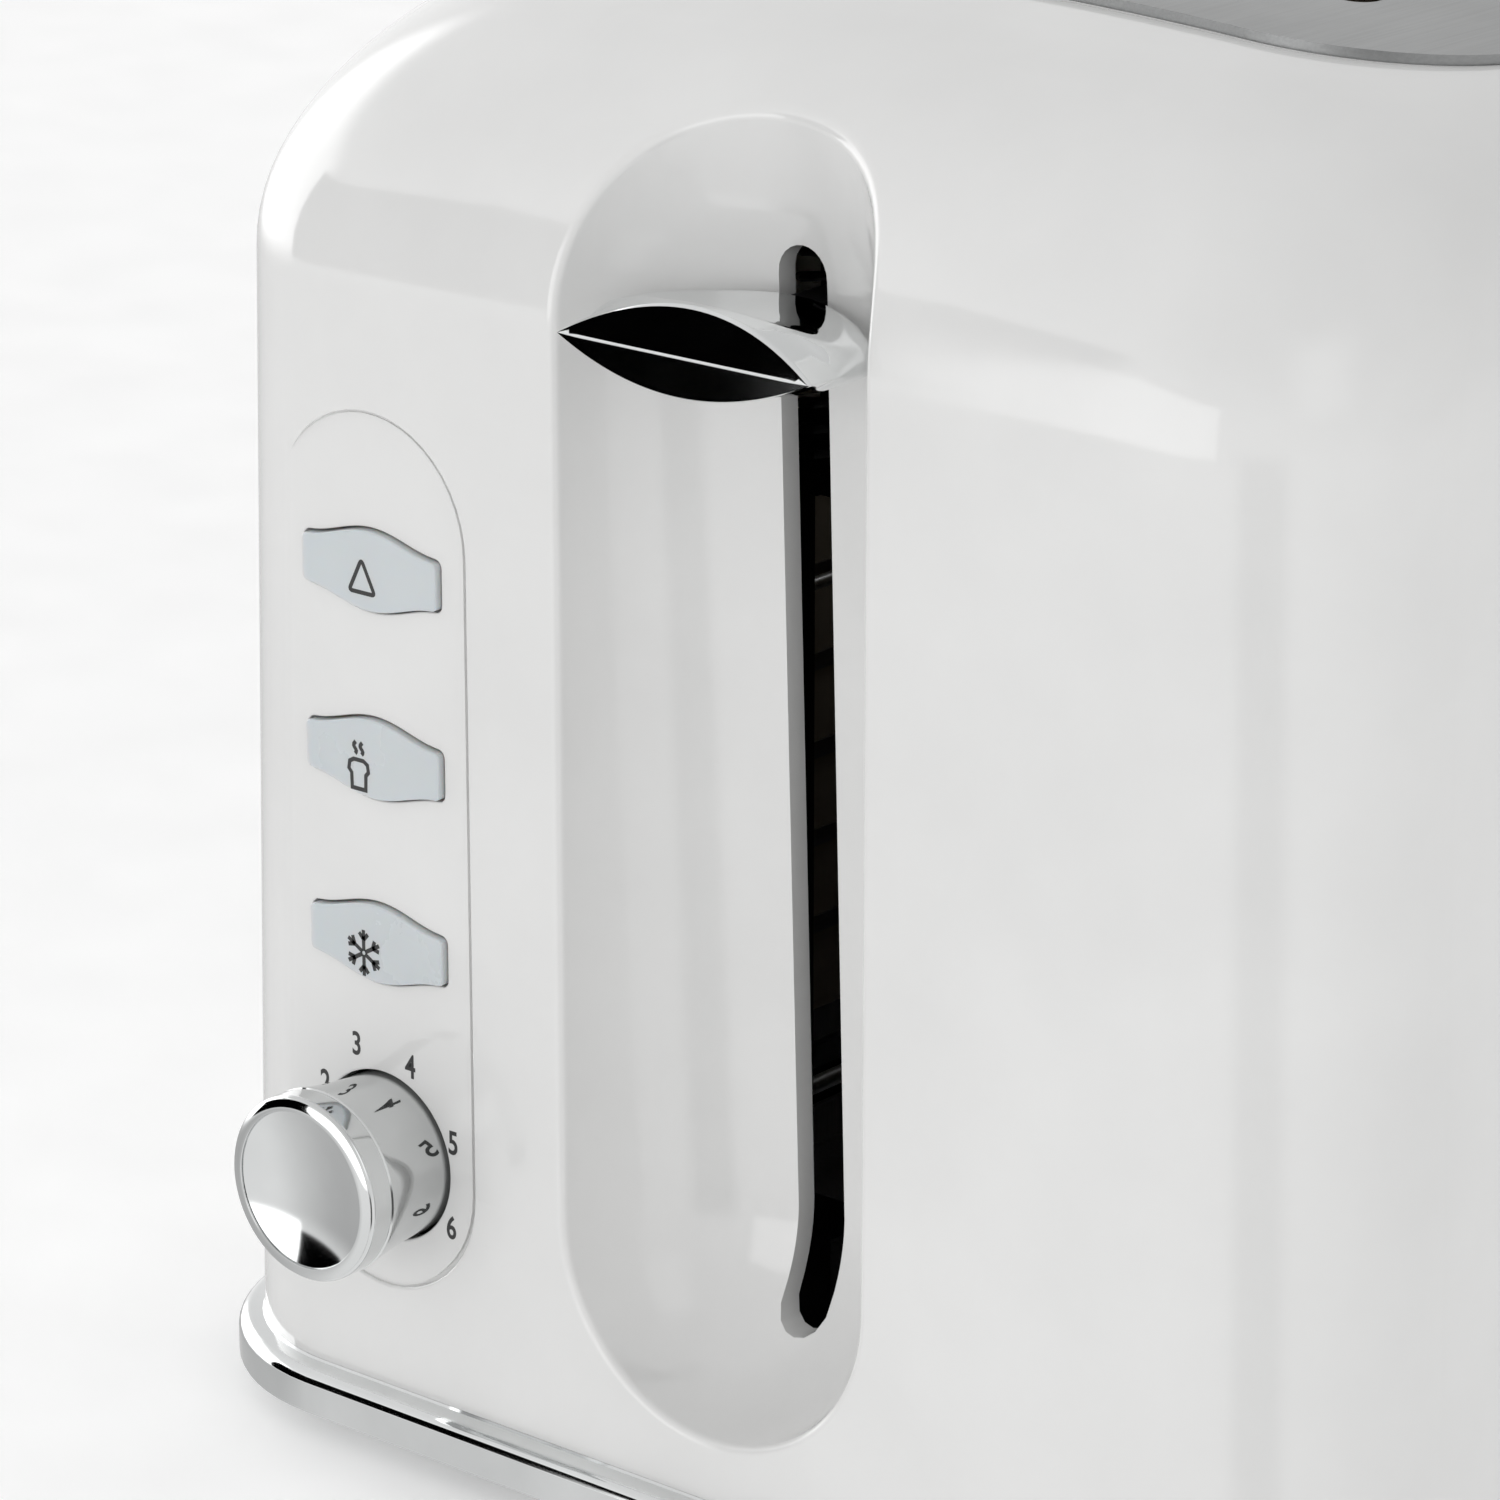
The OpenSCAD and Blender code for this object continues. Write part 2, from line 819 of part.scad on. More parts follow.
// Chromed handle: its front and a body behind it that follows the scoop's curve
module lever_handle() {
    color("silver")
        in_frame()
            difference() {
                union() {
                    handle_front();
                    intersection() {
                        translate([0, -half_l - scoop_axis_out, lever_z - handle_body_hh])
                            scale([1, (scoop_depth_top - handle_gap) / (scoop_r - handle_gap), 1])
                                cylinder(r = scoop_r - handle_gap, h = 2 * handle_body_hh);
                        box([-lever_hw, lever_hw], [-half_l - eps, 0], [0, top_z]);
                    }
                    intersection() {
                        handle_leaf(lever_hw, handle_hh, -half_l - eps, -half_l + 3);
                        box([-lever_hw + 4, lever_hw - 4], [-half_l - 1, 0], [0, top_z]);
                    }
                }
                box([-arm_hw - 0.05, arm_hw + 0.05], [-half_l + 1.9, 0],
                    [lever_z - arm_h / 2 - 0.05, lever_z + arm_h / 2 + 0.05]);
            }
}

// Iron plate that the electromagnet holds down
module armature() {
    color("gray")
        in_frame()
            box([-12, 12], [rod_y - 5, carriage_y], [armature_z, armature_z + armature_t]);
}

// Rack that lifts a slice: a bar with cross fingers
module bread_rack(side) {
    finger_pitch = 22;
    x = side * bread_pitch / 2;
    color("silver")
        in_frame()
            union() {
                box([x - 1.2, x + 1.2], [carriage_y + carriage_t, chamber_hl + 4], [rack_z0, rack_z1]);
                for (k = [-3 : 3])
                    box([x - 9, x + 9], [k * finger_pitch + 10 - 1.5, k * finger_pitch + 10 + 1.5],
                        [rack_z1 - 1.2, rack_z1]);
            }
}

module bread_rack_left() { bread_rack(-1); }
module bread_rack_right() { bread_rack(1); }

// Electromagnet: a three-legged core with a coil on its middle leg
module magnet_core() {
    z0 = shelf_low_z + 2;
    z1 = armature_z - lever_travel - magnet_gap;
    color("dimgray")
        in_frame()
            union() {
                box([-11, 11], [rod_y - 5, rod_y + 3], [z0, z0 + 3]);
                for (side = [-1, 1])
                    box([side * 9.5 - 1.5, side * 9.5 + 1.5], [rod_y - 5, rod_y + 3], [z0, z1]);
                translate([0, rod_y - 1, z0])
                    cylinder(r = 2.8, h = z1 - z0);
            }
}

module magnet_coil() {
    z0 = shelf_low_z + 5;
    color("peru")
        in_frame()
            translate([0, rod_y - 1, z0])
                difference() {
                    cylinder(r = 3.9, h = 11);
                    translate([0, 0, -1])
                        cylinder(r = 2.85, h = 20);
                    }
}

// Block of spring contacts that the carriage closes
module switch_block() {
    color("black")
        in_frame()
            union() {
                box([40.5, 55], [-106, -94], [floor_z + floor_t, 26]);
                box([43, 52], [-104, -96], [26 - eps, 29]);
            }
}

// ---------------------------------------------------------------- controls

module pcb() {
    color("darkgreen")
        in_frame()
            box([-76, -31], [pcb_y, pcb_y + pcb_t], [26, 132]);
}

module potentiometer() {
    color("darkslategray")
        in_frame()
            union() {
                box([-panel_x - 8, -panel_x + 8], [pot_y, pcb_y], [knob_z - 8, knob_z + 8]);
                translate([-panel_x, 0, knob_z])
                    difference() {
                        rod_along_y(4.5, pot_y - 2, pot_y + 1);
                        rod_along_y(spindle_r + running_gap, pot_y - 3, pot_y + 0.5);
                    }
            }
}

module tact_switches() {
    color("dimgray")
        in_frame()
            for (index = [0 : 2])
                translate([-panel_x, 0, button_low_z + index * button_pitch])
                    union() {
                        box([-3, 3], [tact_y + 0.6, pcb_y], [-3, 3]);
                        rod_along_y(1.7, tact_y, tact_y + 1);
                    }
}

// Moulded frame that guides the button stems
module button_guide() {
    guide_y = tact_y - 5;
    post_z = [button_low_z - 9, button_low_z + 2 * button_pitch + 9];
    color("whitesmoke")
        in_frame()
            difference() {
                union() {
                    box([-panel_x - 14, -panel_x + 14], [guide_y, guide_y + 2],
                        [post_z[0] - 3, post_z[1] + 3]);
                    for (z = post_z, side = [-1, 1])
                        translate([-panel_x + side * 11, 0, z])
                            rod_along_y(2.5, guide_y, pcb_y);
                }
                for (index = [0 : 2])
                    translate([-panel_x, 0, button_low_z + index * button_pitch]) {
                        rod_along_y(stem_r + 0.4, guide_y - 1, guide_y + 3);
                        translate([led_x, 0, 0])
                            rod_along_y(led_r + 0.4, guide_y - 1, guide_y + 3);
                    }
            }
}

module indicator_leds() {
    color("lightcyan")
        in_frame()
            for (index = [0 : 2])
                translate([-panel_x + led_x, 0, button_low_z + index * button_pitch])
                    union() {
                        rod_along_y(led_r, tact_y - 4, pcb_y);
                        translate([0, tact_y - 4, 0])
                            sphere(r = led_r);
                    }
}

// Push button: a cap, a flange behind the shell's wall and a stem to its switch
module push_button(index) {
    stem_end = tact_y - button_travel - 0.2;
    color("aliceblue")
        in_frame()
            union() {
                button_prism(index, 0, -half_l - button_out, flange_y + 1);
                button_prism(index, flange_w, flange_y, flange_y + flange_t);
                translate([-panel_x, 0, button_low_z + index * button_pitch])
                    rod_along_y(stem_r, flange_y, stem_end);
            }
}

module button_cancel() { push_button(2); }
module button_reheat() { push_button(1); }
module button_defrost() { push_button(0); }

// Chromed knob: a straight shaft that flares to a cap with a dished face
module knob() {
    steps = 6;
    back = 5;
    flare_at = 5;
    flare_l = 6;
    rim_l = knob_out - flare_at - flare_l;
    rim_w = knob_cap_r - knob_dish_r;
    flare = [
        for (k = [1 : steps])
            let (a = 90 * k / steps)
            [knob_r + (knob_cap_r - knob_r) * (1 - cos(a)), flare_at + flare_l * sin(a)]
    ];
    rim = [
        for (k = [1 : steps])
            let (a = 90 * k / steps)
            [knob_cap_r - rim_w * (1 - cos(a)), flare_at + flare_l + rim_l * sin(a)]
    ];
    dish = [
        for (k = [steps - 1 : -1 : 0])
            let (u = k / steps)
            [knob_dish_r * u, knob_out - knob_dish * (1 - u * u)]
    ];
    shaft = [[0, -back], [knob_r, -back], [knob_r, flare_at]];
    color("silver")
        in_frame()
            translate([-panel_x, -half_l, knob_z])
                rotate([90, 0, 0])
                    difference() {
                        rotate_extrude()
                            polygon(concat(shaft, flare, rim, dish));
                        translate([0, 0, -back - 1])
                            cylinder(r = spindle_r + 0.05, h = 11);
                    }
}

module knob_spindle() {
    color("gray")
        in_frame()
            translate([-panel_x, 0, knob_z])
                rod_along_y(spindle_r, -half_l - 4.8, pot_y);
}

// ---------------------------------------------------------------- rear compartment

module terminal_block() {
    color("ivory")
        in_frame()
            difference() {
                box([-terminal_hw, terminal_hw], [chamber_hl, chamber_hl + 12],
                    [terminal_z0, terminal_z1]);
                for (k = [-1 : 1])
                    translate([terminal_pitch * k, chamber_hl + 6, terminal_z0 + 2])
                        cylinder(r = 2.5, h = terminal_z1 - terminal_z0);
            }
}

module thermal_fuse() {
    color("gainsboro")
        in_frame()
            translate([40, 0, 60])
                union() {
                    translate([0, chamber_hl + 3, 0])
                        rotate([0, 90, 0])
                            cylinder(r = 3, h = 12);
                    box([3, 9], [chamber_hl, chamber_hl + 3], [-2, 2]);
                }
}

housing();
top_plate();
base_trim();
base_plate();
feet();
base_screws();
crumb_tray();
tray_handle();
cord_gland();
chassis_front();
chassis_rear();
reflector_left();
reflector_right();
heater_board_left();
heater_board_centre();
heater_board_right();
heater_wire_left();
heater_wire_centre();
heater_wire_right();
guard_left_outer();
guard_left_inner();
guard_right_inner();
guard_right_outer();
guide_rods();
stop_bumpers();
lift_springs();
carriage();
carriage_bushes();
lever_arm();
lever_handle();
armature();
bread_rack_left();
bread_rack_right();
magnet_core();
magnet_coil();
switch_block();
pcb();
potentiometer();
tact_switches();
button_guide();
indicator_leds();
button_cancel();
button_reheat();
button_defrost();
knob();
knob_spindle();
terminal_block();
thermal_fuse();
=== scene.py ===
import math

import bmesh
import bpy
import numpy as np
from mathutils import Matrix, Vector


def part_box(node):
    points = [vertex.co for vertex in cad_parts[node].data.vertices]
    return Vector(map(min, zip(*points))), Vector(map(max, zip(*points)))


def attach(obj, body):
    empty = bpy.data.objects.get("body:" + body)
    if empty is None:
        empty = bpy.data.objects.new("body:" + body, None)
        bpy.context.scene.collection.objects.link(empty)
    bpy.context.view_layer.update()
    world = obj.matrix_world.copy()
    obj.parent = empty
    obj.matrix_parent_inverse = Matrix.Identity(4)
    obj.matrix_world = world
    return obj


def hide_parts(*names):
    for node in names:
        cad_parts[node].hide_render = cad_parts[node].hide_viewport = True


# Looks of a two-slice pop-up toaster. Shapes are worked out in millimetres from the middle of the
# body, with -y at the lever end, and become metres in the row frame when a mesh is built.

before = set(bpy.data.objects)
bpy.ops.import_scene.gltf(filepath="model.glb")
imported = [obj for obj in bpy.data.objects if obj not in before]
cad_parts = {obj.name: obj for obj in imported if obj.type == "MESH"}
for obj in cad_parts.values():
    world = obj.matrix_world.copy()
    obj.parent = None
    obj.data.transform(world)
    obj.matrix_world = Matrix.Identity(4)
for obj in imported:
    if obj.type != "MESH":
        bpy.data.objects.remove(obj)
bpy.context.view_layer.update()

MM = 0.001
housing_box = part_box("housing")
CENTRE_Y = (housing_box[0].y + housing_box[1].y) / 2 / MM

# Shell
HALF_W = 90.0
HALF_L = 140.0
WALL = 3.0
WALL_LEAN = 3.7
FOOT_Z = 10.4
SHOULDER_Z = 154.0
SHOULDER_H = 38.0
SIDE_RUN = 18.0
END_RUN = 52.0
CORNER_R = 25.0
CORNER_GAIN = 3.0
CROWN_R = 580.0

# Top plate
PLATE_HW = 69.0
PLATE_HL = 95.5
PLATE_R = 26.0
PLATE_Z = 192.8
PLATE_T = 1.2
REBATE_GAP = 0.3
REBATE_ROUND = 0.45
REBATE_ROUND_MIDDLE = 0.13
LEDGE_W = 5.0

# Base
RING_OUT = 3.5
RING_Z = 4.0
FOOT_R = 9.0
FOOT_H = 6.0
FOOT_X = 62.0
FOOT_Y = 108.0

# Scoop and slot
SCOOP_R = 23.4
SCOOP_Y = -HALF_L - 1.4
SCOOP_LOW_Z = 41.7
SCOOP_TOP_DEPTH = 19.4
SCOOP_DOME = 46.0
RIM_ROUND = 1.1
SLOT_R = 3.65
SLOT_LOW_Z = 30.15
SLOT_HIGH_Z = 160.65

# Controls
PANEL_X = -54.0
PANEL_HW = 15.9
PANEL_LOW_Z = 24.1
PANEL_HIGH_Z = 138.5
PANEL_Y = -HALF_L + 0.6
BUTTON_HW = 11.2
BUTTON_HH = 5.1
BUTTON_END_HH = 3.06
BUTTON_ROUND = 0.9
BUTTON_FRONT = -HALF_L - 0.2
BUTTON_BACK = -136.2
FLANGE_W = 1.4
FLANGE_T = 1.2
STEM_R = 2.0
STEM_END = -126.4
WINDOW_GAP = 0.3
CUT_DEPTH_Y = -134.0
GROOVE_SECTION = ((0.02, -1), (0.02, 0.6), (0.75, 0.5), (0.8, -1), (0.02, -1))
ICON_STROKE = 0.55
NUMERAL_H = 3.2
NUMERAL_NARROWING = 0.8
BUTTON_Z = {"button_defrost": 70.0, "button_reheat": 94.2, "button_cancel": 118.4}
KNOB_Z = 41.5
KNOB_HOLE_R = 11.2
KNOB_R = 10.8
KNOB_RIM_R = 12.1
KNOB_DISH_R = 10.3
KNOB_BACK = 5.0
KNOB_SKIRT_L = 10.4
KNOB_FRONT_L = 14.3
KNOB_DISH_DEPTH = 1.5

# Lever handle
LEVER_Z = 155.6
LEVER_HW = 19.2
LEVER_HH = 5.25
LEVER_BODY_HH = 3.0
LEVER_GAP = 1.6
LEVER_BLEND = 6.0
RIDGE_Z = -0.5
RIDGE_Y = -144.4
LEVER_HEAD_LEAN = 2.3
LEVER_FOOT_LEAN = 0.6
LEVER_RIMS = ((1.0, 0.0), (0.75, 0.12), (0.35, 0.3), (0.0, 0.6))
BODY_DEPTHS = (1.2, 2.0, 3.0, 4.2, 5.4, 7.0, 9.0, 11.0, 13.0, 14.8, 16.0, 16.9, 17.4)

# Rear
REAR_CUT_Y = (130.0, 141.0)
TRAY_WINDOW_HW = 58.0
TRAY_WINDOW_Z = (11.6, 24.6)
GLAND_HOLE_R = 6.2
GLAND_Z = 44.0

# Studio. A panel's angles are in degrees, with azimuth 0 along -y and plus towards +x; its edge is
# the width of its soft border as a tangent. The camera's place is in metres, its angles in degrees.
FLOOR_R = 12000.0
PANELS = {
    "left softbox": dict(azimuth=-90, elevation=12, width=52, height=38, edge=0.2, level=2.6),
    "front softbox": dict(azimuth=-14, elevation=3.5, width=46, height=29, edge=0.05, level=2.2),
    "front left flag": dict(azimuth=-51.5, elevation=8.5, width=30, height=33, edge=0.02, level=0.0),
    "low right flag": dict(azimuth=32, elevation=-22, width=24, height=26, edge=0.2, level=0.1),
    "right softbox": dict(azimuth=62, elevation=32, width=24, height=36, edge=0.3, level=1.3),
}
SKY_LOW = 1.03
SKY_HIGH = 0.74
SKY_LEFT = 1.15
SKY_RIGHT = 0.84
SKY_BACK = 0.8
GROUND_LEFT = 0.55
GROUND_RIGHT = 0.98
CAMERA_LENS = 142.8
CAMERA_PLACE = (0.42854, -0.63736, 0.32674)
CAMERA_DOWN = 18.4
CAMERA_TURN = 40.0

# ---------------------------------------------------------------- mesh helpers


class Form:
    """Points and faces of one piece, each face with the number of its material."""

    def __init__(self):
        self.points = []
        self.faces = []
        self.slots = []

    def grid(self, rows, closed=False, slot=0, skip=None):
        """Quads between neighbouring rows that all have the same number of points."""
        start = len(self.points)
        count = len(rows[0])
        for row in rows:
            self.points.extend(tuple(p) for p in row)
        for i in range(len(rows) - 1):
            for j in range(count if closed else count - 1):
                if skip and skip(i, j):
                    continue
                a = start + i * count + j
                b = start + i * count + (j + 1) % count
                self.faces.append((a, b, b + count, a + count))
                self.slots.append(slot)
        return self

    def cap(self, row, slot=0):
        """One face over a closed row of points."""
        start = len(self.points)
        self.points.extend(tuple(p) for p in row)
        self.faces.append(tuple(range(start, start + len(row))))
        self.slots.append(slot)
        return self

    def lid(self, row, slot=0):
        """Fan of triangles from the middle of a closed row of points."""
        start = len(self.points)
        self.points.extend(tuple(p) for p in row)
        self.points.append(tuple(np.mean(np.array(row), axis=0)))
        for k in range(len(row)):
            self.faces.append((start + k, start + (k + 1) % len(row), start + len(row)))
            self.slots.append(slot)
        return self

    def object(self, name, centre=(0, 0, 0)):
        """Blender object with merged points, outward normals and its origin at centre."""
        middle = Vector(centre)
        mesh = bpy.data.meshes.new(name)
        mesh.from_pydata([(Vector(p) - middle) * MM for p in self.points], [], self.faces)
        mesh.polygons.foreach_set("material_index", self.slots)
        shape = bmesh.new()
        shape.from_mesh(mesh)
        bmesh.ops.remove_doubles(shape, verts=shape.verts, dist=0.002 * MM)
        bmesh.ops.recalc_face_normals(shape, faces=shape.faces)
        shape.to_mesh(mesh)
        shape.free()
        obj = bpy.data.objects.new(name, mesh)
        obj.location = (middle + Vector((0, CENTRE_Y, 0))) * MM
        bpy.context.scene.collection.objects.link(obj)
        return obj


def smooth(obj, sharp=32.0):
    """Smooth shading that keeps edges sharper than an angle, with flat faces kept flat."""
    obj.data.shade_smooth()
    obj.data.set_sharp_from_angle(angle=math.radians(sharp))
    weighted = obj.modifiers.new("flat_faces", "WEIGHTED_NORMAL")
    weighted.keep_sharp = True
    return obj


def carve(obj, cutters):
    """Cuts closed forms out of an object and keeps the result as its mesh."""
    for cutter in cutters:
        cut = obj.modifiers.new("cut", "BOOLEAN")
        cut.operation = "DIFFERENCE"
        cut.solver = "EXACT"
        cut.object = cutter
    shown = obj.evaluated_get(bpy.context.evaluated_depsgraph_get())
    mesh = bpy.data.meshes.new_from_object(shown)
    obj.modifiers.clear()
    obj.data = mesh
    for cutter in cutters:
        bpy.data.objects.remove(cutter)


def piece(obj, body, node, materials, sharp=32.0):
    """Gives a finished piece its materials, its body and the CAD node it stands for."""
    obj.data.materials.clear()
    for material in materials:
        obj.data.materials.append(material)
    smooth(obj, sharp)
    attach(obj, body)
    if node:
        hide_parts(node)
    return obj


def arc(cx, cy, r, start, steps):
    """Points inside a quarter turn, without its two ends."""
    angles = [math.radians(start + 90 * k / steps) for k in range(1, steps)]
    return [(cx + r * math.cos(a), cy + r * math.sin(a)) for a in angles]


def offset_path(points, distance, closed=True):
    """Path moved sideways by a distance, with mitred corners."""
    path = np.array(points, float)
    before = np.roll(path, 1, axis=0)
    after = np.roll(path, -1, axis=0)
    if not closed:
        before[0] = 2 * path[0] - path[1]
        after[-1] = 2 * path[-1] - path[-2]
    first = path - before
    second = after - path
    first /= np.linalg.norm(first, axis=1)[:, None]
    second /= np.linalg.norm(second, axis=1)[:, None]
    side = first + second
    side /= np.linalg.norm(side, axis=1)[:, None]
    normal = np.stack([side[:, 1], -side[:, 0]], axis=1)
    stretch = np.maximum(np.sum(side * first, axis=1), 0.4)
    return path + normal * (distance / stretch)[:, None]


def round_corners(points, radius, steps=5, turn=20.0):
    """Closed path whose sharp corners are replaced by arcs tangent to both sides."""
    path = [Vector(p) for p in points]
    result = []
    for k, corner in enumerate(path):
        to_last = (path[k - 1] - corner).normalized()
        to_next = (path[(k + 1) % len(path)] - corner).normalized()
        bend = math.pi - to_last.angle(to_next)
        if bend < math.radians(turn):
            result.append(tuple(corner))
            continue
        reach = radius * math.tan(bend / 2)
        start = corner + to_last * reach
        end = corner + to_next * reach
        for i in range(steps + 1):
            u = i / steps
            result.append(tuple((1 - u) ** 2 * start + 2 * u * (1 - u) * corner + u * u * end))
    return result


def on_wall(path, x, y, z):
    """Path of the end wall's own plane moved to a place on it."""
    return [(x + p[0], y, z + p[1]) for p in path]


def lathe(form, profile, centre, axis, steps=96, slot_of=None):
    """Surface of a profile of (radius, place along the axis) turned about Y or Z."""
    rows = []
    for r, along in profile:
        row = []
        for k in range(steps):
            a = 2 * math.pi * k / steps
            if axis == "Y":
                row.append((centre[0] + r * math.cos(a), along, centre[2] + r * math.sin(a)))
            else:
                row.append((centre[0] + r * math.cos(a), centre[1] + r * math.sin(a), along))
        rows.append(row)
    for k in range(len(rows) - 1):
        form.grid(rows[k:k + 2], closed=True, slot=slot_of(k) if slot_of else 0)
    return form


# ---------------------------------------------------------------- shell

PATCH_HW = 34.0
PATCH_COLUMNS = 22
SIDE_COLUMNS = 7
WALL_ROWS = 40
SHOULDER_STEP = 4
PATCH_TOP_ANGLE = 60
LAST_ANGLE = 72
ARC_STEPS = 16
PATCH_ROW = WALL_ROWS - 1 + PATCH_TOP_ANGLE // SHOULDER_STEP


def section(angle, off):
    """Half width, half length, corner radius, height and crown share at an angle up the shoulder."""
    drop = 1 - math.cos(angle)
    return (
        HALF_W - WALL_LEAN - SIDE_RUN * drop - off,
        HALF_L - END_RUN * drop - off,
        CORNER_R + CORNER_GAIN * drop - off,
        SHOULDER_Z + (SHOULDER_H - off) * math.sin(angle),
        math.sin(angle),
    )


def outline(hw, hl, r):
    """Points round a rounded rectangle, with fixed columns across the scoop's patch."""
    cx = hw - r
    cy = hl - r
    front = np.concatenate([
        np.linspace(-cx, -PATCH_HW, SIDE_COLUMNS + 1)[:-1],
        np.linspace(-PATCH_HW, PATCH_HW, PATCH_COLUMNS + 1)[:-1],
        np.linspace(PATCH_HW, cx, SIDE_COLUMNS + 1),
    ])
    sides = np.linspace(-cy, cy, 14)
    back = np.linspace(cx, -cx, 14)
    return (
        [(x, -hl) for x in front]
        + arc(cx, -cy, r, -90, ARC_STEPS)
        + [(hw, y) for y in sides]
        + arc(cx, cy, r, 0, ARC_STEPS)
        + [(x, hl) for x in back]
        + arc(-cx, cy, r, 90, ARC_STEPS)
        + [(-hw, y) for y in sides[::-1]]
        + arc(-cx, -cy, r, 180, ARC_STEPS)
    )


def ring(hw, hl, r, z, crown=0.0):
    """Outline at a height, bowed by its share of the crown."""
    return [(x, y, z - crown * x * x / (2 * CROWN_R)) for x, y in outline(hw, hl, r)]


def shell_z(x, y, off):
    """Height of the shoulder over a point, by halving the range of the section's angle."""
    low = 0.0
    high = math.pi / 2
    for _ in range(28):
        middle = (low + high) / 2
        hw, hl, r, _, _ = section(middle, off)
        dx = max(abs(x) - hw + r, 0)
        dy = max(abs(y) - hl + r, 0)
        if math.hypot(dx, dy) > r:
            high = middle
        else:
            low = middle
    _, _, _, z, crown = section(low, off)
    return z - crown * x * x / (2 * CROWN_R)


def draped(hw, hl, r, off, drop=0.0):
    """Outline laid on the shoulder, or a little under it."""
    return [(x, y, shell_z(x, y, off) - drop) for x, y in outline(hw, hl, r)]


def wall_and_shoulder(off):
    """Rows of the shell from its foot to the last plain section under the top plate."""
    rows = []
    for t in np.linspace(0, 1, WALL_ROWS):
        z = FOOT_Z + t * (SHOULDER_Z - FOOT_Z)
        rows.append(ring(HALF_W - WALL_LEAN * t - off, HALF_L - off, CORNER_R - off, z))
    for degrees in range(SHOULDER_STEP, LAST_ANGLE + 1, SHOULDER_STEP):
        hw, hl, r, z, crown = section(math.radians(degrees), off)
        rows.append(ring(hw, hl, r, z, crown))
    return rows


def top_rows(off, hw, hl, r):
    """Rows that carry the last section over to an outline laid on the shoulder."""
    first = section(math.radians(LAST_ANGLE), off)[:3]
    rows = []
    for t in (0.3, 0.6, 0.85, 1.0):
        size = [a + t * (b - a) for a, b in zip(first, (hw, hl, r))]
        rows.append(draped(*size, off))
    return rows


def front_y(x, z, off):
    """Place of the end face over a point of its elevation."""
    rise = max(z - SHOULDER_Z, 0) / (SHOULDER_H - off - x * x / (2 * CROWN_R))
    return -HALF_L + off + END_RUN * (1 - math.sqrt(max(1 - rise * rise, 0)))


def scoop_y(x, z, grow):
    """Place of the scoop's wall over a point, or its axis where the point is outside it."""
    r = SCOOP_R + grow
    depth = r
    reach = r
    over = max(SCOOP_LOW_Z - z, 0)
    if z > SCOOP_LOW_Z:
        share = min((z - SCOOP_LOW_Z) / (SHOULDER_Z - SCOOP_LOW_Z), 1)
        depth = r - share * (SCOOP_R - SCOOP_TOP_DEPTH)
    if z > SHOULDER_Z:
        reach = SCOOP_DOME + grow
        over = z - SHOULDER_Z
    left = 1 - (x / r) ** 2 - (over / reach) ** 2
    return SCOOP_Y + depth * math.sqrt(max(left, 0))


def bisect(low, high, inside):
    """Place between two ends where a test that holds at the low end stops holding."""
    for _ in range(30):
        middle = (low + high) / 2
        if inside(middle):
            low = middle
        else:
            high = middle
    return low


def slot_edge(dx, dz, rise):
    """Distance from a point of the slot's middle line to the slot's outline."""
    straight = SLOT_R / abs(dx) if abs(dx) > 1e-6 else 1e9
    if abs(dz) * straight <= rise:
        return straight
    return abs(dz) * rise + math.sqrt(SLOT_R ** 2 - rise ** 2 * dx * dx)


def scoop_ray(edge, off, grow):
    """Points from the patch's edge over the rim and down the scoop to the slot's outline."""
    x, _, z = edge
    foot_z = min(max(z, SCOOP_LOW_Z), SHOULDER_Z)
    length = math.hypot(x, z - foot_z)
    dx = x / length
    dz = (z - foot_z) / length
    rise = SLOT_HIGH_Z - SHOULDER_Z if dz > 0 else SCOOP_LOW_Z - SLOT_LOW_Z
    inner = slot_edge(dx, dz, rise)

    def face(t):
        return np.array((dx * t, front_y(dx * t, foot_z + dz * t, off), foot_z + dz * t))

    def bowl(t):
        return np.array((dx * t, scoop_y(dx * t, foot_z + dz * t, grow), foot_z + dz * t))

    rim = bisect(inner, length, lambda t: bowl(t)[1] > face(t)[1])
    corner = face(rim)
    outer = face(rim + RIM_ROUND)
    turn = bisect(inner, rim, lambda t: np.linalg.norm(bowl(t) - corner) > RIM_ROUND)
    down = bowl(turn)
    points = [np.array(edge)]
    for u in (0.3, 0.6, 0.85):
        points.append(face(length + u * (rim + RIM_ROUND - length)))
    for u in np.linspace(0, 1, 7):
        points.append((1 - u) ** 2 * outer + 2 * u * (1 - u) * corner + u * u * down)
    for k in range(17, -1, -1):
        points.append(bowl(inner + (turn - inner) * math.sin(math.pi / 2 * k / 18)))
    return points


def patch_loop(rows):
    """Edge of the patch that the scoop's own grid fills, taken from the shell's rows."""
    left = SIDE_COLUMNS
    right = SIDE_COLUMNS + PATCH_COLUMNS
    return (
        [rows[0][j] for j in range(left, right)]
        + [rows[i][right] for i in range(PATCH_ROW)]
        + [rows[PATCH_ROW][j] for j in range(right, left, -1)]
        + [rows[i][left] for i in range(PATCH_ROW, 0, -1)]
    )


def shell_skin(form, off, grow, ends):
    """One skin of the shell; returns its foot, its top and its slot outline."""
    rows = wall_and_shoulder(off)

    def in_patch(i, j):
        return i < PATCH_ROW and SIDE_COLUMNS <= j < SIDE_COLUMNS + PATCH_COLUMNS

    rows += ends
    # The inner skin takes the second material, near-black painted shade so the slot reads dark.
    slot = 1 if off else 0
    form.grid(rows, closed=True, slot=slot, skip=in_patch)
    rays = [scoop_ray(edge, off, grow) for edge in patch_loop(rows)]
    form.grid([list(row) for row in zip(*rays)], closed=True, slot=slot)
    return rows[0], rows[-1], [ray[-1] for ray in rays]


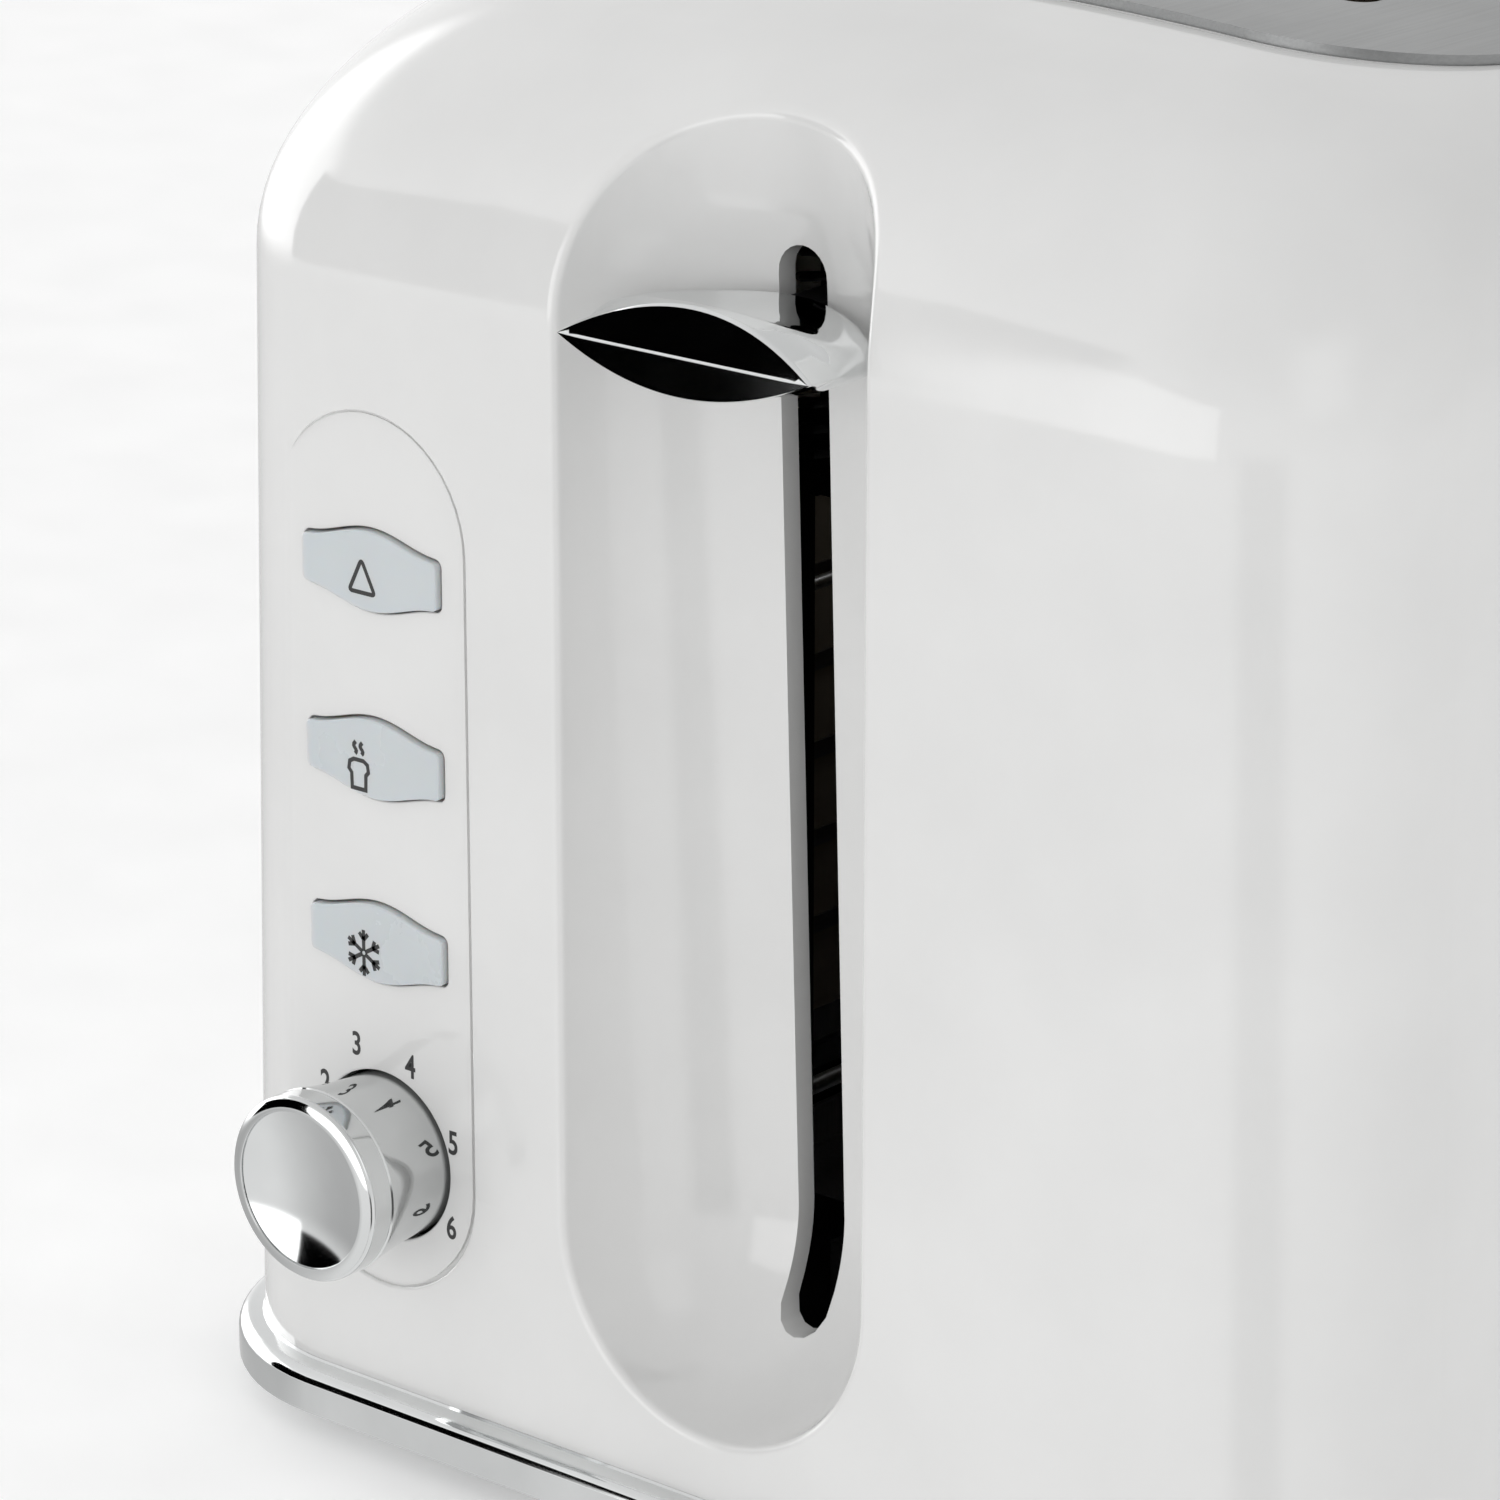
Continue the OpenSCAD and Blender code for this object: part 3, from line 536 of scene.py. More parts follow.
def capsule(hw, low, high, steps=24):
    """Upright capsule about the middle line."""
    middle = [low + hw, high - hw]
    upper = [(hw * math.cos(a), middle[1] + hw * math.sin(a)) for a in np.linspace(0, math.pi, steps)]
    lower = [(-x, middle[0] + middle[1] - z) for x, z in upper]
    return upper + lower


def button_outline(grow=0.0):
    """A push button's outline: full in its middle, blunt ends, small round corners."""
    hw = BUTTON_HW
    us = np.linspace(-1, 1, 25)
    edge = BUTTON_END_HH + (BUTTON_HH - BUTTON_END_HH) * (0.5 + 0.5 * np.cos(math.pi * us))
    core = [(u * hw, e) for u, e in zip(us, edge)]
    core += [(-u * hw, -e) for u, e in zip(us, edge)]
    return offset_path(round_corners(core, BUTTON_ROUND), -grow)


def prism_cutter(outline_of, x, z, profile):
    """Closed form through the end wall whose outline changes with depth."""
    rows = [on_wall(outline_of(grow), x, y, z) for grow, y in profile]
    return Form().grid(rows, closed=True).cap(rows[0]).cap(rows[-1]).object("cutter")


def mouth(face, back, gap=0.0, radius=0.25):
    """Depth profile of a hole with a rounded edge at a face: how much it grows, and where."""
    turn = [(gap + radius * (1 - math.sin(a)), face + radius * (1 - math.cos(a)))
            for a in np.linspace(0, math.pi / 2, 4)]
    return [(gap + radius, face - 3)] + turn + [(gap, back)]


def panel_groove(panel):
    """Cutter for the fine groove at the foot of the panel's wall, which fades to the left and below."""
    rows = []
    for inset, depth in GROOVE_SECTION:
        row = []
        for (x, z), (inner_x, inner_z) in zip(panel(-0.02), panel(-inset)):
            share = 0.5 + 0.5 * x / PANEL_HW
            if z < PANEL_LOW_Z + PANEL_HW:
                share = min(max((x / PANEL_HW - 0.1) / 0.6, 0), 1)
            y = PANEL_Y + depth
            if depth > 0:
                y = PANEL_Y - 0.1 + share * (depth + 0.1)
            row.append((PANEL_X + x + share * (inner_x - x), y, z + share * (inner_z - z)))
        rows.append(row)
    return Form().grid(rows, closed=True).object("cutter")


def box_form(x, y, z):
    """Closed box between two values along each axis."""
    rows = [[(x[i], y[j], h) for i, j in ((0, 0), (1, 0), (1, 1), (0, 1))] for h in z]
    return Form().grid(rows, closed=True).cap(rows[0]).cap(rows[1])


def round_cutter(r, x, z, profile):
    """Round hole through an end wall with the same kind of profile."""
    form = lathe(Form(), [(r + grow, y) for grow, y in profile], (x, 0, z), "Y")
    ends = [[(x + (r + grow) * math.cos(a), y, z + (r + grow) * math.sin(a))
             for a in np.linspace(0, 2 * math.pi, 97)[:-1]] for grow, y in (profile[0], profile[-1])]
    return form.cap(ends[0]).cap(ends[1]).object("cutter")


def build_housing():
    """The moulded shell: outer and inner skin, the scoop, the slot and the cut-outs."""
    form = Form()
    rebate = (PLATE_HW + REBATE_GAP, PLATE_HL + REBATE_GAP, PLATE_R)
    opening = (PLATE_HW - LEDGE_W, PLATE_HL - LEDGE_W, PLATE_R - LEDGE_W)
    floor_z = PLATE_Z - PLATE_T - 0.05
    wide = [size + REBATE_ROUND for size in rebate]
    near = [size + REBATE_ROUND_MIDDLE for size in rebate]
    outer_top = top_rows(0, *wide)
    outer_top += [draped(*near, 0, REBATE_ROUND_MIDDLE), draped(*rebate, 0, REBATE_ROUND)]
    outer_top += [ring(*rebate, floor_z, 1.0), ring(*opening, floor_z, 1.0)]
    outer = shell_skin(form, 0, 0, outer_top)
    inner = shell_skin(form, WALL, WALL, top_rows(WALL, *opening))
    for a, b in zip(outer, inner):
        form.grid([a, b], closed=True)
    obj = form.object("shell")
    # Second material: the inner skin's near-black painted shade.
    for material in ("white_gloss", "shell_inside_painted_shade"):
        obj.data.materials.append(FINISHES[material])

    def panel(grow):
        return capsule(PANEL_HW + grow, PANEL_LOW_Z - grow, PANEL_HIGH_Z + grow)

    recess = prism_cutter(panel, PANEL_X, 0, mouth(-HALF_L, PANEL_Y, radius=0.35))
    cutters = [recess, panel_groove(panel)]
    for z in BUTTON_Z.values():
        cutters.append(prism_cutter(button_outline, PANEL_X, z,
                                    mouth(PANEL_Y, CUT_DEPTH_Y, WINDOW_GAP, 0.2)))
    cutters.append(round_cutter(KNOB_HOLE_R, PANEL_X, KNOB_Z, mouth(PANEL_Y, CUT_DEPTH_Y, 0, 0.3)))
    tray_window = box_form((-TRAY_WINDOW_HW, TRAY_WINDOW_HW), REAR_CUT_Y, TRAY_WINDOW_Z)
    cutters.append(tray_window.object("cutter"))
    cutters.append(round_cutter(GLAND_HOLE_R, 0, GLAND_Z, [(0, y) for y in REAR_CUT_Y]))
    carve(obj, cutters)
    return obj


# ---------------------------------------------------------------- other pieces


def ring_profile():
    """Inset and height round the section of the base ring, whose upper edge is an arc."""
    r = 1.9
    turn = [(r * (1 - math.cos(a)), 8.0 + r * math.sin(a)) for a in np.linspace(0, math.pi / 2, 9)]
    return ([(9.5, RING_Z), (0.7, RING_Z), (0.2, RING_Z + 0.15), (0, RING_Z + 0.6)] + turn
            + [(3.2, 10.1), (3.5, 10.36), (12, 10.38), (12, 8.4), (9.5, 8.4), (9.5, RING_Z)])


def build_base_trim():
    """Chromed ring swept round the foot of the shell."""
    hw = HALF_W + RING_OUT
    hl = HALF_L + RING_OUT
    r = CORNER_R + RING_OUT
    rows = [ring(hw - i, hl - i, r - i, z) for i, z in ring_profile()]
    return Form().grid(rows, closed=True).object("chromed_ring")


def build_feet():
    """Four rubber feet with a rounded sole, two grooves and a stud."""
    sole = [(0, 0), (3, 0), (3.4, 0.5), (4.4, 0.5), (4.8, 0), (7.2, 0), (8.1, 0.2), (8.8, 0.9)]
    side = [(FOOT_R, 1.8), (FOOT_R, 3.2), (8.5, 3.5), (8.5, 4.1), (FOOT_R, 4.4), (FOOT_R, 5.7),
            (8.7, FOOT_H)]
    stud = [(2.9, FOOT_H), (2.9, FOOT_H + 2.4), (0, FOOT_H + 2.4)]
    form = Form()
    for sx in (-1, 1):
        for sy in (-1, 1):
            lathe(form, sole + side + stud, (sx * FOOT_X, sy * FOOT_Y, 0), "Z", steps=64)
    return form.object("rubber_feet")


def build_button(name):
    """Push button with a fine round edge, a flange and a stem behind it."""
    z = BUTTON_Z[name]
    r = 0.25
    edge = [(-r * (1 - math.sin(a)), BUTTON_FRONT + r * (1 - math.cos(a)))
            for a in np.linspace(0, math.pi / 2, 5)]
    flange = [(0, BUTTON_BACK), (FLANGE_W, BUTTON_BACK), (FLANGE_W, BUTTON_BACK + FLANGE_T)]
    rows = [on_wall(button_outline(grow), PANEL_X, y, z) for grow, y in edge + flange]
    form = Form().grid(rows, closed=True).cap(rows[0]).cap(rows[-1])
    stem = [(STEM_R, BUTTON_BACK + FLANGE_T - 0.1), (STEM_R, STEM_END), (0, STEM_END)]
    lathe(form, stem, (PANEL_X, 0, z), "Y", 32)
    return form.object(name + "_cap")


def knob_profile():
    """Radius and place of the knob's surface, from its back to the middle of its dish."""
    face = -HALF_L
    skirt_end = face - KNOB_SKIRT_L
    front = face - KNOB_FRONT_L
    gain = KNOB_RIM_R - KNOB_R
    flare = [(KNOB_R + gain * t ** 1.6, face - KNOB_SKIRT_L * t) for t in np.linspace(0, 1, 12)]
    groove_r = KNOB_RIM_R - 0.2
    groove = [(KNOB_RIM_R, skirt_end - 0.1), (groove_r, skirt_end - 0.25), (groove_r, skirt_end - 0.5),
              (KNOB_RIM_R, skirt_end - 0.65)]
    nose = [(KNOB_RIM_R - 0.6 + 0.6 * math.cos(a), front + 0.7 - 0.7 * math.sin(a))
            for a in np.linspace(0, math.radians(64), 8)]
    brow = [(KNOB_DISH_R + 1.45 * u, front - 0.38 * (1 - u * u)) for u in np.linspace(1, 0, 8)]
    lip = [(KNOB_DISH_R - 0.06, front - 0.3), (KNOB_DISH_R - 0.1, front - 0.1)]
    dish = [((KNOB_DISH_R - 0.12) * u, front + KNOB_DISH_DEPTH * (1 - u * u))
            for u in np.linspace(1, 0, 20)]
    back = [(3, face + KNOB_BACK), (KNOB_R - 0.4, face + KNOB_BACK), (KNOB_R, face + KNOB_BACK - 0.4)]
    return back, flare + groove + nose + brow + lip, dish


def build_knob():
    """Chromed knob with a skirt that flares, a polished rim and a satin dished face."""
    back, skirt, dish = knob_profile()
    profile = back + skirt + dish
    satin_from = len(back) + len(skirt) - 1
    centre = (PANEL_X, -HALF_L - KNOB_BACK, KNOB_Z)
    form = lathe(Form(), profile, centre, "Y", steps=160, slot_of=lambda k: int(k >= satin_from))
    return form.object("chromed_knob", centre)


def lever_slice(y, hw, hh, power, root):
    """Section of the handle at one depth: a leaf when root is 1, blunt-ended as it falls."""
    turns = np.linspace(0, math.pi, 49)
    swell = [(hw * math.cos(a), (1 - abs(math.cos(a)) ** power) ** root) for a in turns]
    tip_z = LEVER_Z + RIDGE_Z
    upper = [(x, y, tip_z + (hh - RIDGE_Z) * s) for x, s in swell]
    lower = [(x, y, tip_z - (hh + RIDGE_Z) * s) for x, s in swell[-2:0:-1]]
    return upper + lower


def lever_face(z):
    """Depth of the handle's two facets at a height from its middle."""
    if z < RIDGE_Z:
        return RIDGE_Y - LEVER_FOOT_LEAN * (RIDGE_Z - z) / (LEVER_HH + RIDGE_Z)
    return RIDGE_Y + LEVER_HEAD_LEAN * (z - RIDGE_Z) / (LEVER_HH - RIDGE_Z)


def build_lever():
    """Chromed handle: two facets with a fine ridge, and a body that follows the scoop behind."""
    form = Form()
    leaf = [(p[0], p[2] - LEVER_Z) for p in lever_slice(0, LEVER_HW, LEVER_HH, 2, 1)]
    rims = []
    for inset, back in LEVER_RIMS:
        narrowed = 1 - 0.02 * inset
        lowered = 1 - 0.07 * inset
        drawn_in = [(x * narrowed, RIDGE_Z + (z - RIDGE_Z) * lowered) for x, z in leaf]
        rims.append([(x, lever_face(z) + back, LEVER_Z + z) for x, z in drawn_in])
    behind = []
    for depth in BODY_DEPTHS:
        y = SCOOP_Y + depth
        share = min(depth / LEVER_BLEND, 1)
        share = share * share * (3 - 2 * share)
        reach = (SCOOP_R - LEVER_GAP) * math.sqrt(1 - (depth / (SCOOP_TOP_DEPTH - LEVER_GAP)) ** 2)
        hh = LEVER_HH + share * (LEVER_BODY_HH - LEVER_HH)
        behind.append(lever_slice(y, min(reach, LEVER_HW), hh, 2 + 5 * share, 1 - 0.5 * share))
    form.grid(rims + behind, closed=True)
    form.lid(behind[-1])
    half = len(leaf) // 2
    upper = rims[0][:half + 1]
    lower = [rims[0][0]] + rims[0][:half - 1:-1]
    columns = []
    for top, bottom in zip(upper, lower):
        room = min((top[2] - bottom[2]) / 3, 1)
        column = [top]
        for rise, proud in ((0.26, 0.0), (-0.04, 0.13), (-0.12, 0.0)):
            high = RIDGE_Z + rise * room
            column.append((top[0], lever_face(high) - proud * room, LEVER_Z + high))
        columns.append(column + [bottom])
    form.grid(columns)
    return form.object("leaf_handle")


def strokes(name, paths, x, y, z, width, body, material):
    """Printed mark on the end wall: flat lines that stand a hair proud of it."""
    form = Form()
    for path, closed in paths:
        left = on_wall(offset_path(path, width / 2, closed), x, y, z)
        right = on_wall(offset_path(path, -width / 2, closed), x, y, z)
        low_left = [(p[0], y + 0.03, p[2]) for p in left]
        low_right = [(p[0], y + 0.03, p[2]) for p in right]
        form.grid([low_left, left, right, low_right], closed=closed)
    return piece(form.object(name), body, None, [material])


def cancel_icon():
    """Triangle with round corners."""
    corners = [(0, 2.5), (2.15, -1.75), (-2.15, -1.75)]
    return [(round_corners(corners, 0.35, steps=6), True)]


def reheat_icon():
    """Slice of bread with two curls of steam over it."""
    slice_path = [(-1.15, -3), (1.15, -3), (1.2, -1.1), (1.65, -0.6), (1.5, 0.35), (0.8, 0.75),
                  (-0.8, 0.75), (-1.5, 0.35), (-1.65, -0.6), (-1.2, -1.1)]
    zs = np.linspace(1.5, 3.1, 9)
    paths = [(slice_path, True)]
    for side in (-1, 1):
        paths.append(([(side * 0.55 + 0.22 * math.sin(4.4 * (h - zs[0])), h) for h in zs], False))
    return paths


def defrost_icon():
    """Snowflake with six branched arms."""
    paths = []
    for k in range(6):
        a = math.radians(90 + 60 * k)

        def at(r, turn=0.0):
            return (r * math.cos(a + turn), r * math.sin(a + turn))

        paths.append(([at(0.25), at(3.05)], False))
        for side in (-1, 1):
            paths.append(([at(1.75), at(2.7, side * 0.28)], False))
    return paths


def numeral(text, x, z, height, material):
    """Raised digit of the browning scale, from Blender's own font."""
    curve = bpy.data.curves.new("digit", "FONT")
    curve.body = text
    curve.size = 1
    curve.extrude = 0.02
    curve.offset = 0.018
    curve.resolution_u = 6
    source = bpy.data.objects.new("digit", curve)
    bpy.context.scene.collection.objects.link(source)
    mesh = bpy.data.meshes.new_from_object(source.evaluated_get(bpy.context.evaluated_depsgraph_get()))
    bpy.data.objects.remove(source)
    co = np.array([v.co[:] for v in mesh.vertices])
    low = co.min(axis=0)
    high = co.max(axis=0)
    scale = height / (high[1] - low[1])
    for v in mesh.vertices:
        across = (v.co.x - (low[0] + high[0]) / 2) * scale * NUMERAL_NARROWING
        up = (v.co.y - (low[1] + high[1]) / 2) * scale
        v.co = Vector((x + across, PANEL_Y - v.co.z * 1.5 + CENTRE_Y, z + up)) * MM
    obj = bpy.data.objects.new("numeral_" + text, mesh)
    bpy.context.scene.collection.objects.link(obj)
    obj.data.materials.clear()
    obj.data.materials.append(material)
    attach(obj, "base")
    return obj


# ---------------------------------------------------------------- materials


class Finish:
    """Procedural material: grain and smudges from noise drive colour, roughness and relief."""

    def __init__(self, name, **sockets):
        self.material = bpy.data.materials.new(name)
        self.material.use_nodes = True
        self.nodes = self.material.node_tree.nodes
        self.link = self.material.node_tree.links.new
        self.shader = self.nodes["Principled BSDF"]
        for socket, value in sockets.items():
            self.shader.inputs[socket.replace("_", " ")].default_value = value
        self.place = self.nodes.new("ShaderNodeTexCoord").outputs["Object"]

    def noise(self, scale, stretch=(1, 1, 1), detail=4.0):
        """Noise over the object's own metres, stretched along its axes."""
        mapping = self.nodes.new("ShaderNodeMapping")
        mapping.inputs["Scale"].default_value = stretch
        self.link(self.place, mapping.inputs["Vector"])
        noise = self.nodes.new("ShaderNodeTexNoise")
        noise.inputs["Scale"].default_value = scale
        noise.inputs["Detail"].default_value = detail
        self.link(mapping.outputs["Vector"], noise.inputs["Vector"])
        return noise.outputs["Fac"]

    def span(self, value, low, high):
        """Noise, which stays near its middle, spread over a range."""
        spread = self.nodes.new("ShaderNodeMapRange")
        spread.inputs["From Min"].default_value = 0.3
        spread.inputs["From Max"].default_value = 0.7
        spread.inputs["To Min"].default_value = low
        spread.inputs["To Max"].default_value = high
        self.link(value, spread.inputs["Value"])
        return spread.outputs["Result"]

    def colour(self, value, dark, light):
        """Base colour between two tones."""
        mix = self.nodes.new("ShaderNodeMix")
        mix.data_type = "RGBA"
        mix.inputs["A"].default_value = (*dark, 1)
        mix.inputs["B"].default_value = (*light, 1)
        self.link(self.span(value, 0, 1), mix.inputs["Factor"])
        self.link(mix.outputs["Result"], self.shader.inputs["Base Color"])
        return self

    def roughness(self, value, low, high):
        self.link(self.span(value, low, high), self.shader.inputs["Roughness"])
        return self

    def relief(self, value, strength, distance=0.0001):
        """Fine unevenness of the surface."""
        bump = self.nodes.new("ShaderNodeBump")
        bump.inputs["Strength"].default_value = strength
        bump.inputs["Distance"].default_value = distance
        self.link(value, bump.inputs["Height"])
        self.link(bump.outputs["Normal"], self.shader.inputs["Normal"])
        return self


def grey(value, tint=(1, 1, 1)):
    return tuple(value * t for t in tint)


def plastic(name, tone, tint=(1, 1, 1), rough=(0.3, 0.45), grain=1500, relief=0.05, **sockets):
    """Moulded plastic or rubber: faint mottling, smudges in the gloss, fine grain."""
    finish = Finish(name, **sockets)
    finish.colour(finish.noise(40, detail=6), grey(tone * 0.95, tint), grey(tone, tint))
    finish.roughness(finish.noise(25, detail=8), *rough)
    finish.relief(finish.noise(grain), relief)
    return finish.material


def metal(name, tone, tint=(1, 1, 1), rough=(0.2, 0.35), stretch=(1, 1, 1), grain=900, relief=0.05,
          **sockets):
    """Metal: rolling or brushing grain along the axis that the stretch leaves short."""
    finish = Finish(name, Metallic=1.0, **sockets)
    lines = finish.noise(grain, stretch, detail=6)
    finish.colour(lines, grey(tone * 0.88, tint), grey(tone, tint))
    finish.roughness(finish.noise(30, detail=8), *rough)
    finish.relief(lines, relief)
    return finish.material


WHITE = (1.0, 1.0, 0.992)
COOL = (0.985, 1.0, 1.0)
WARM = (1.0, 0.86, 0.66)

FINISHES = {
    "white_gloss": plastic("white_gloss", 0.79, WHITE, (0.10, 0.17), 260, 0.02, Coat_Weight=0.6,
                           Coat_Roughness=0.05),
    # Inner skin, near-black: painted shade that keeps the slot and the inside of the shell dark.
    "shell_inside_painted_shade": plastic("shell_inside_painted_shade", 0.05, rough=(0.6, 0.8), relief=0.1),
    "brushed_top": metal("brushed_top", 0.31, COOL, (0.30, 0.42), (1, 0.02, 1), 2600, 0.12,
                         Anisotropic=0.6),
    "chrome_trim": metal("chrome_trim", 0.80, COOL, (0.03, 0.08), (1, 1, 1), 60, 0.01),
    "chrome_lever": metal("chrome_lever", 0.84, COOL, (0.03, 0.07), (1, 1, 1), 60, 0.01),
    "chrome_knob": metal("chrome_knob", 0.72, COOL, (0.04, 0.08), (1, 1, 1), 60, 0.01),
    "satin_dish": metal("satin_dish", 0.62, (1, 1, 0.95), (0.11, 0.16), (1, 1, 1), 1400, 0.02,
                        Anisotropic=0.5),
    "black_plastic": plastic("black_plastic", 0.018, rough=(0.35, 0.5), relief=0.15),
    "foot_rubber": plastic("foot_rubber", 0.025, rough=(0.6, 0.8), relief=0.3),
    "steel_sheet": metal("steel_sheet", 0.50, COOL, (0.28, 0.42), (1, 1, 0.04), 1800, 0.08),
    # Frame, carriage, lever arm, rods and springs behind the slot, near-black: painted shade that keeps
    # the slot dark.
    "dark_sheet_painted_shade": metal("dark_sheet_painted_shade", 0.05, COOL, (0.4, 0.55), (1, 1, 0.04), 1800, 0.08),
    "bright_sheet": metal("bright_sheet", 0.78, COOL, (0.12, 0.25), (1, 1, 0.05), 1500, 0.05),
    "zinc_screw": metal("zinc_screw", 0.60, COOL, (0.25, 0.4), grain=1200),
    "mica": plastic("mica", 0.25, WARM, (0.35, 0.6), 700, 0.2),
    "heating_ribbon": metal("heating_ribbon", 0.28, (1.0, 0.93, 0.88), (0.35, 0.5), (1, 0.1, 1)),
    "steel_wire": metal("steel_wire", 0.66, COOL, (0.2, 0.32)),
    "ivory_plastic": plastic("ivory_plastic", 0.70, (1.0, 0.96, 0.84)),
    "button_plastic": plastic("button_plastic", 0.655, (1.0, 1.0, 1.02), (0.22, 0.32), 400, 0.02,
                              Subsurface_Weight=0.15, Coat_Weight=0.2),
    "magnet_iron": metal("magnet_iron", 0.30, rough=(0.4, 0.55)),
    "copper_coil": metal("copper_coil", 0.80, (1.0, 0.50, 0.32), (0.25, 0.35), (1, 1, 8), 500, 0.3),
    "board_green": plastic("board_green", 0.16, (0.25, 1.0, 0.42), (0.3, 0.4), 900, 0.08),
    "component_black": plastic("component_black", 0.03, rough=(0.4, 0.55), relief=0.1),
    "led_clear": plastic("led_clear", 0.80, COOL, (0.08, 0.15), Transmission_Weight=0.7),
    "print_black": plastic("print_black", 0.035, rough=(0.45, 0.6), relief=0.1),
}

# ---------------------------------------------------------------- pieces on their bodies

piece(build_housing(), "base", "housing",
      [FINISHES["white_gloss"], FINISHES["shell_inside_painted_shade"]])
piece(build_base_trim(), "base", "base_trim", [FINISHES["chrome_trim"]])
piece(build_feet(), "base", "feet", [FINISHES["foot_rubber"]])
piece(build_lever(), "lever", "lever_handle", [FINISHES["chrome_lever"]])
piece(build_knob(), "knob", "knob", [FINISHES["chrome_knob"], FINISHES["satin_dish"]])

ICONS = {"button_cancel": cancel_icon(), "button_reheat": reheat_icon(), "button_defrost": defrost_icon()}
ICON_PLACE = {"button_cancel": (-1.0, -1.1), "button_reheat": (-2.2, -1.2), "button_defrost": (-2.0, -1.6)}
for node, z in BUTTON_Z.items():
    body = node.replace("button_", "") + "_button"
    dx, dz = ICON_PLACE[node]
    piece(build_button(node), body, node, [FINISHES["button_plastic"]])
    strokes(node + "_icon", ICONS[node], PANEL_X + dx, BUTTON_FRONT - 0.02, z + dz, ICON_STROKE,
            body, FINISHES["print_black"])

NUMERALS = {"1": (-64.5, 34.7), "2": (-64.0, 49.0), "3": (-58.4, 55.5), "4": (-49.2, 54.7),
            "5": (-42.1, 46.2), "6": (-42.6, 34.7)}
for text, (x, z) in NUMERALS.items():
    numeral(text, x, z, NUMERAL_H, FINISHES["print_black"])

CARRIED = {
    "brushed_top": ["top_plate"],
    "black_plastic": ["base_plate", "cord_gland", "stop_bumpers", "switch_block"],
    "zinc_screw": ["base_screws"],
    "steel_sheet": ["crumb_tray"],
    # The parts behind the slot take the near-black painted shade sheet.
    "dark_sheet_painted_shade": ["chassis_front", "chassis_rear", "carriage", "lever_arm",
                    "guide_rods", "lift_springs"],
    "white_gloss": ["tray_handle"],
    "bright_sheet": ["reflector_left", "reflector_right", "thermal_fuse"],
    "mica": ["heater_board_left", "heater_board_centre", "heater_board_right"],
    "heating_ribbon": ["heater_wire_left", "heater_wire_centre", "heater_wire_right"],
    "steel_wire": ["guard_left_outer", "guard_left_inner", "guard_right_inner", "guard_right_outer",
                   "bread_rack_left", "bread_rack_right", "knob_spindle"],
    "ivory_plastic": ["carriage_bushes", "button_guide", "terminal_block"],
    "magnet_iron": ["armature", "magnet_core"],
    "copper_coil": ["magnet_coil"],
    "board_green": ["pcb"],
    "component_black": ["potentiometer", "tact_switches"],
    "led_clear": ["indicator_leds"],
}
BEVELS = {"top_plate": 0.4, "tray_handle": 1.0, "cord_gland": 0.4,
          "base_plate": 0.4, "lever_arm": 0.3, "carriage": 0.2}
for slot, names in CARRIED.items():
    for name in names:
        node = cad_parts[name]
        node.data.materials.clear()
        node.data.materials.append(FINISHES[slot])
        if name in BEVELS:
            bevel = node.modifiers.new("round_edges", "BEVEL")
            bevel.width = BEVELS[name] * MM
            bevel.segments = 3
            bevel.angle_limit = math.radians(35)
            bevel.harden_normals = False

# ---------------------------------------------------------------- studio


def floor():
    """Plain pale floor in the shape of a wide disc."""
    form = Form()
    circle = [(FLOOR_R * math.cos(a), FLOOR_R * math.sin(a), 0)
              for a in np.linspace(0, 2 * math.pi, 65)[:-1]]
    form.cap(circle)
    obj = form.object("floor")
    paint = plastic("floor_paint", 0.95, rough=(0.6, 0.8), grain=400, relief=0.02,
                    Emission_Color=(1, 1, 1, 1), Emission_Strength=0.16)
    obj.data.materials.append(paint)
    obj.visible_glossy = False


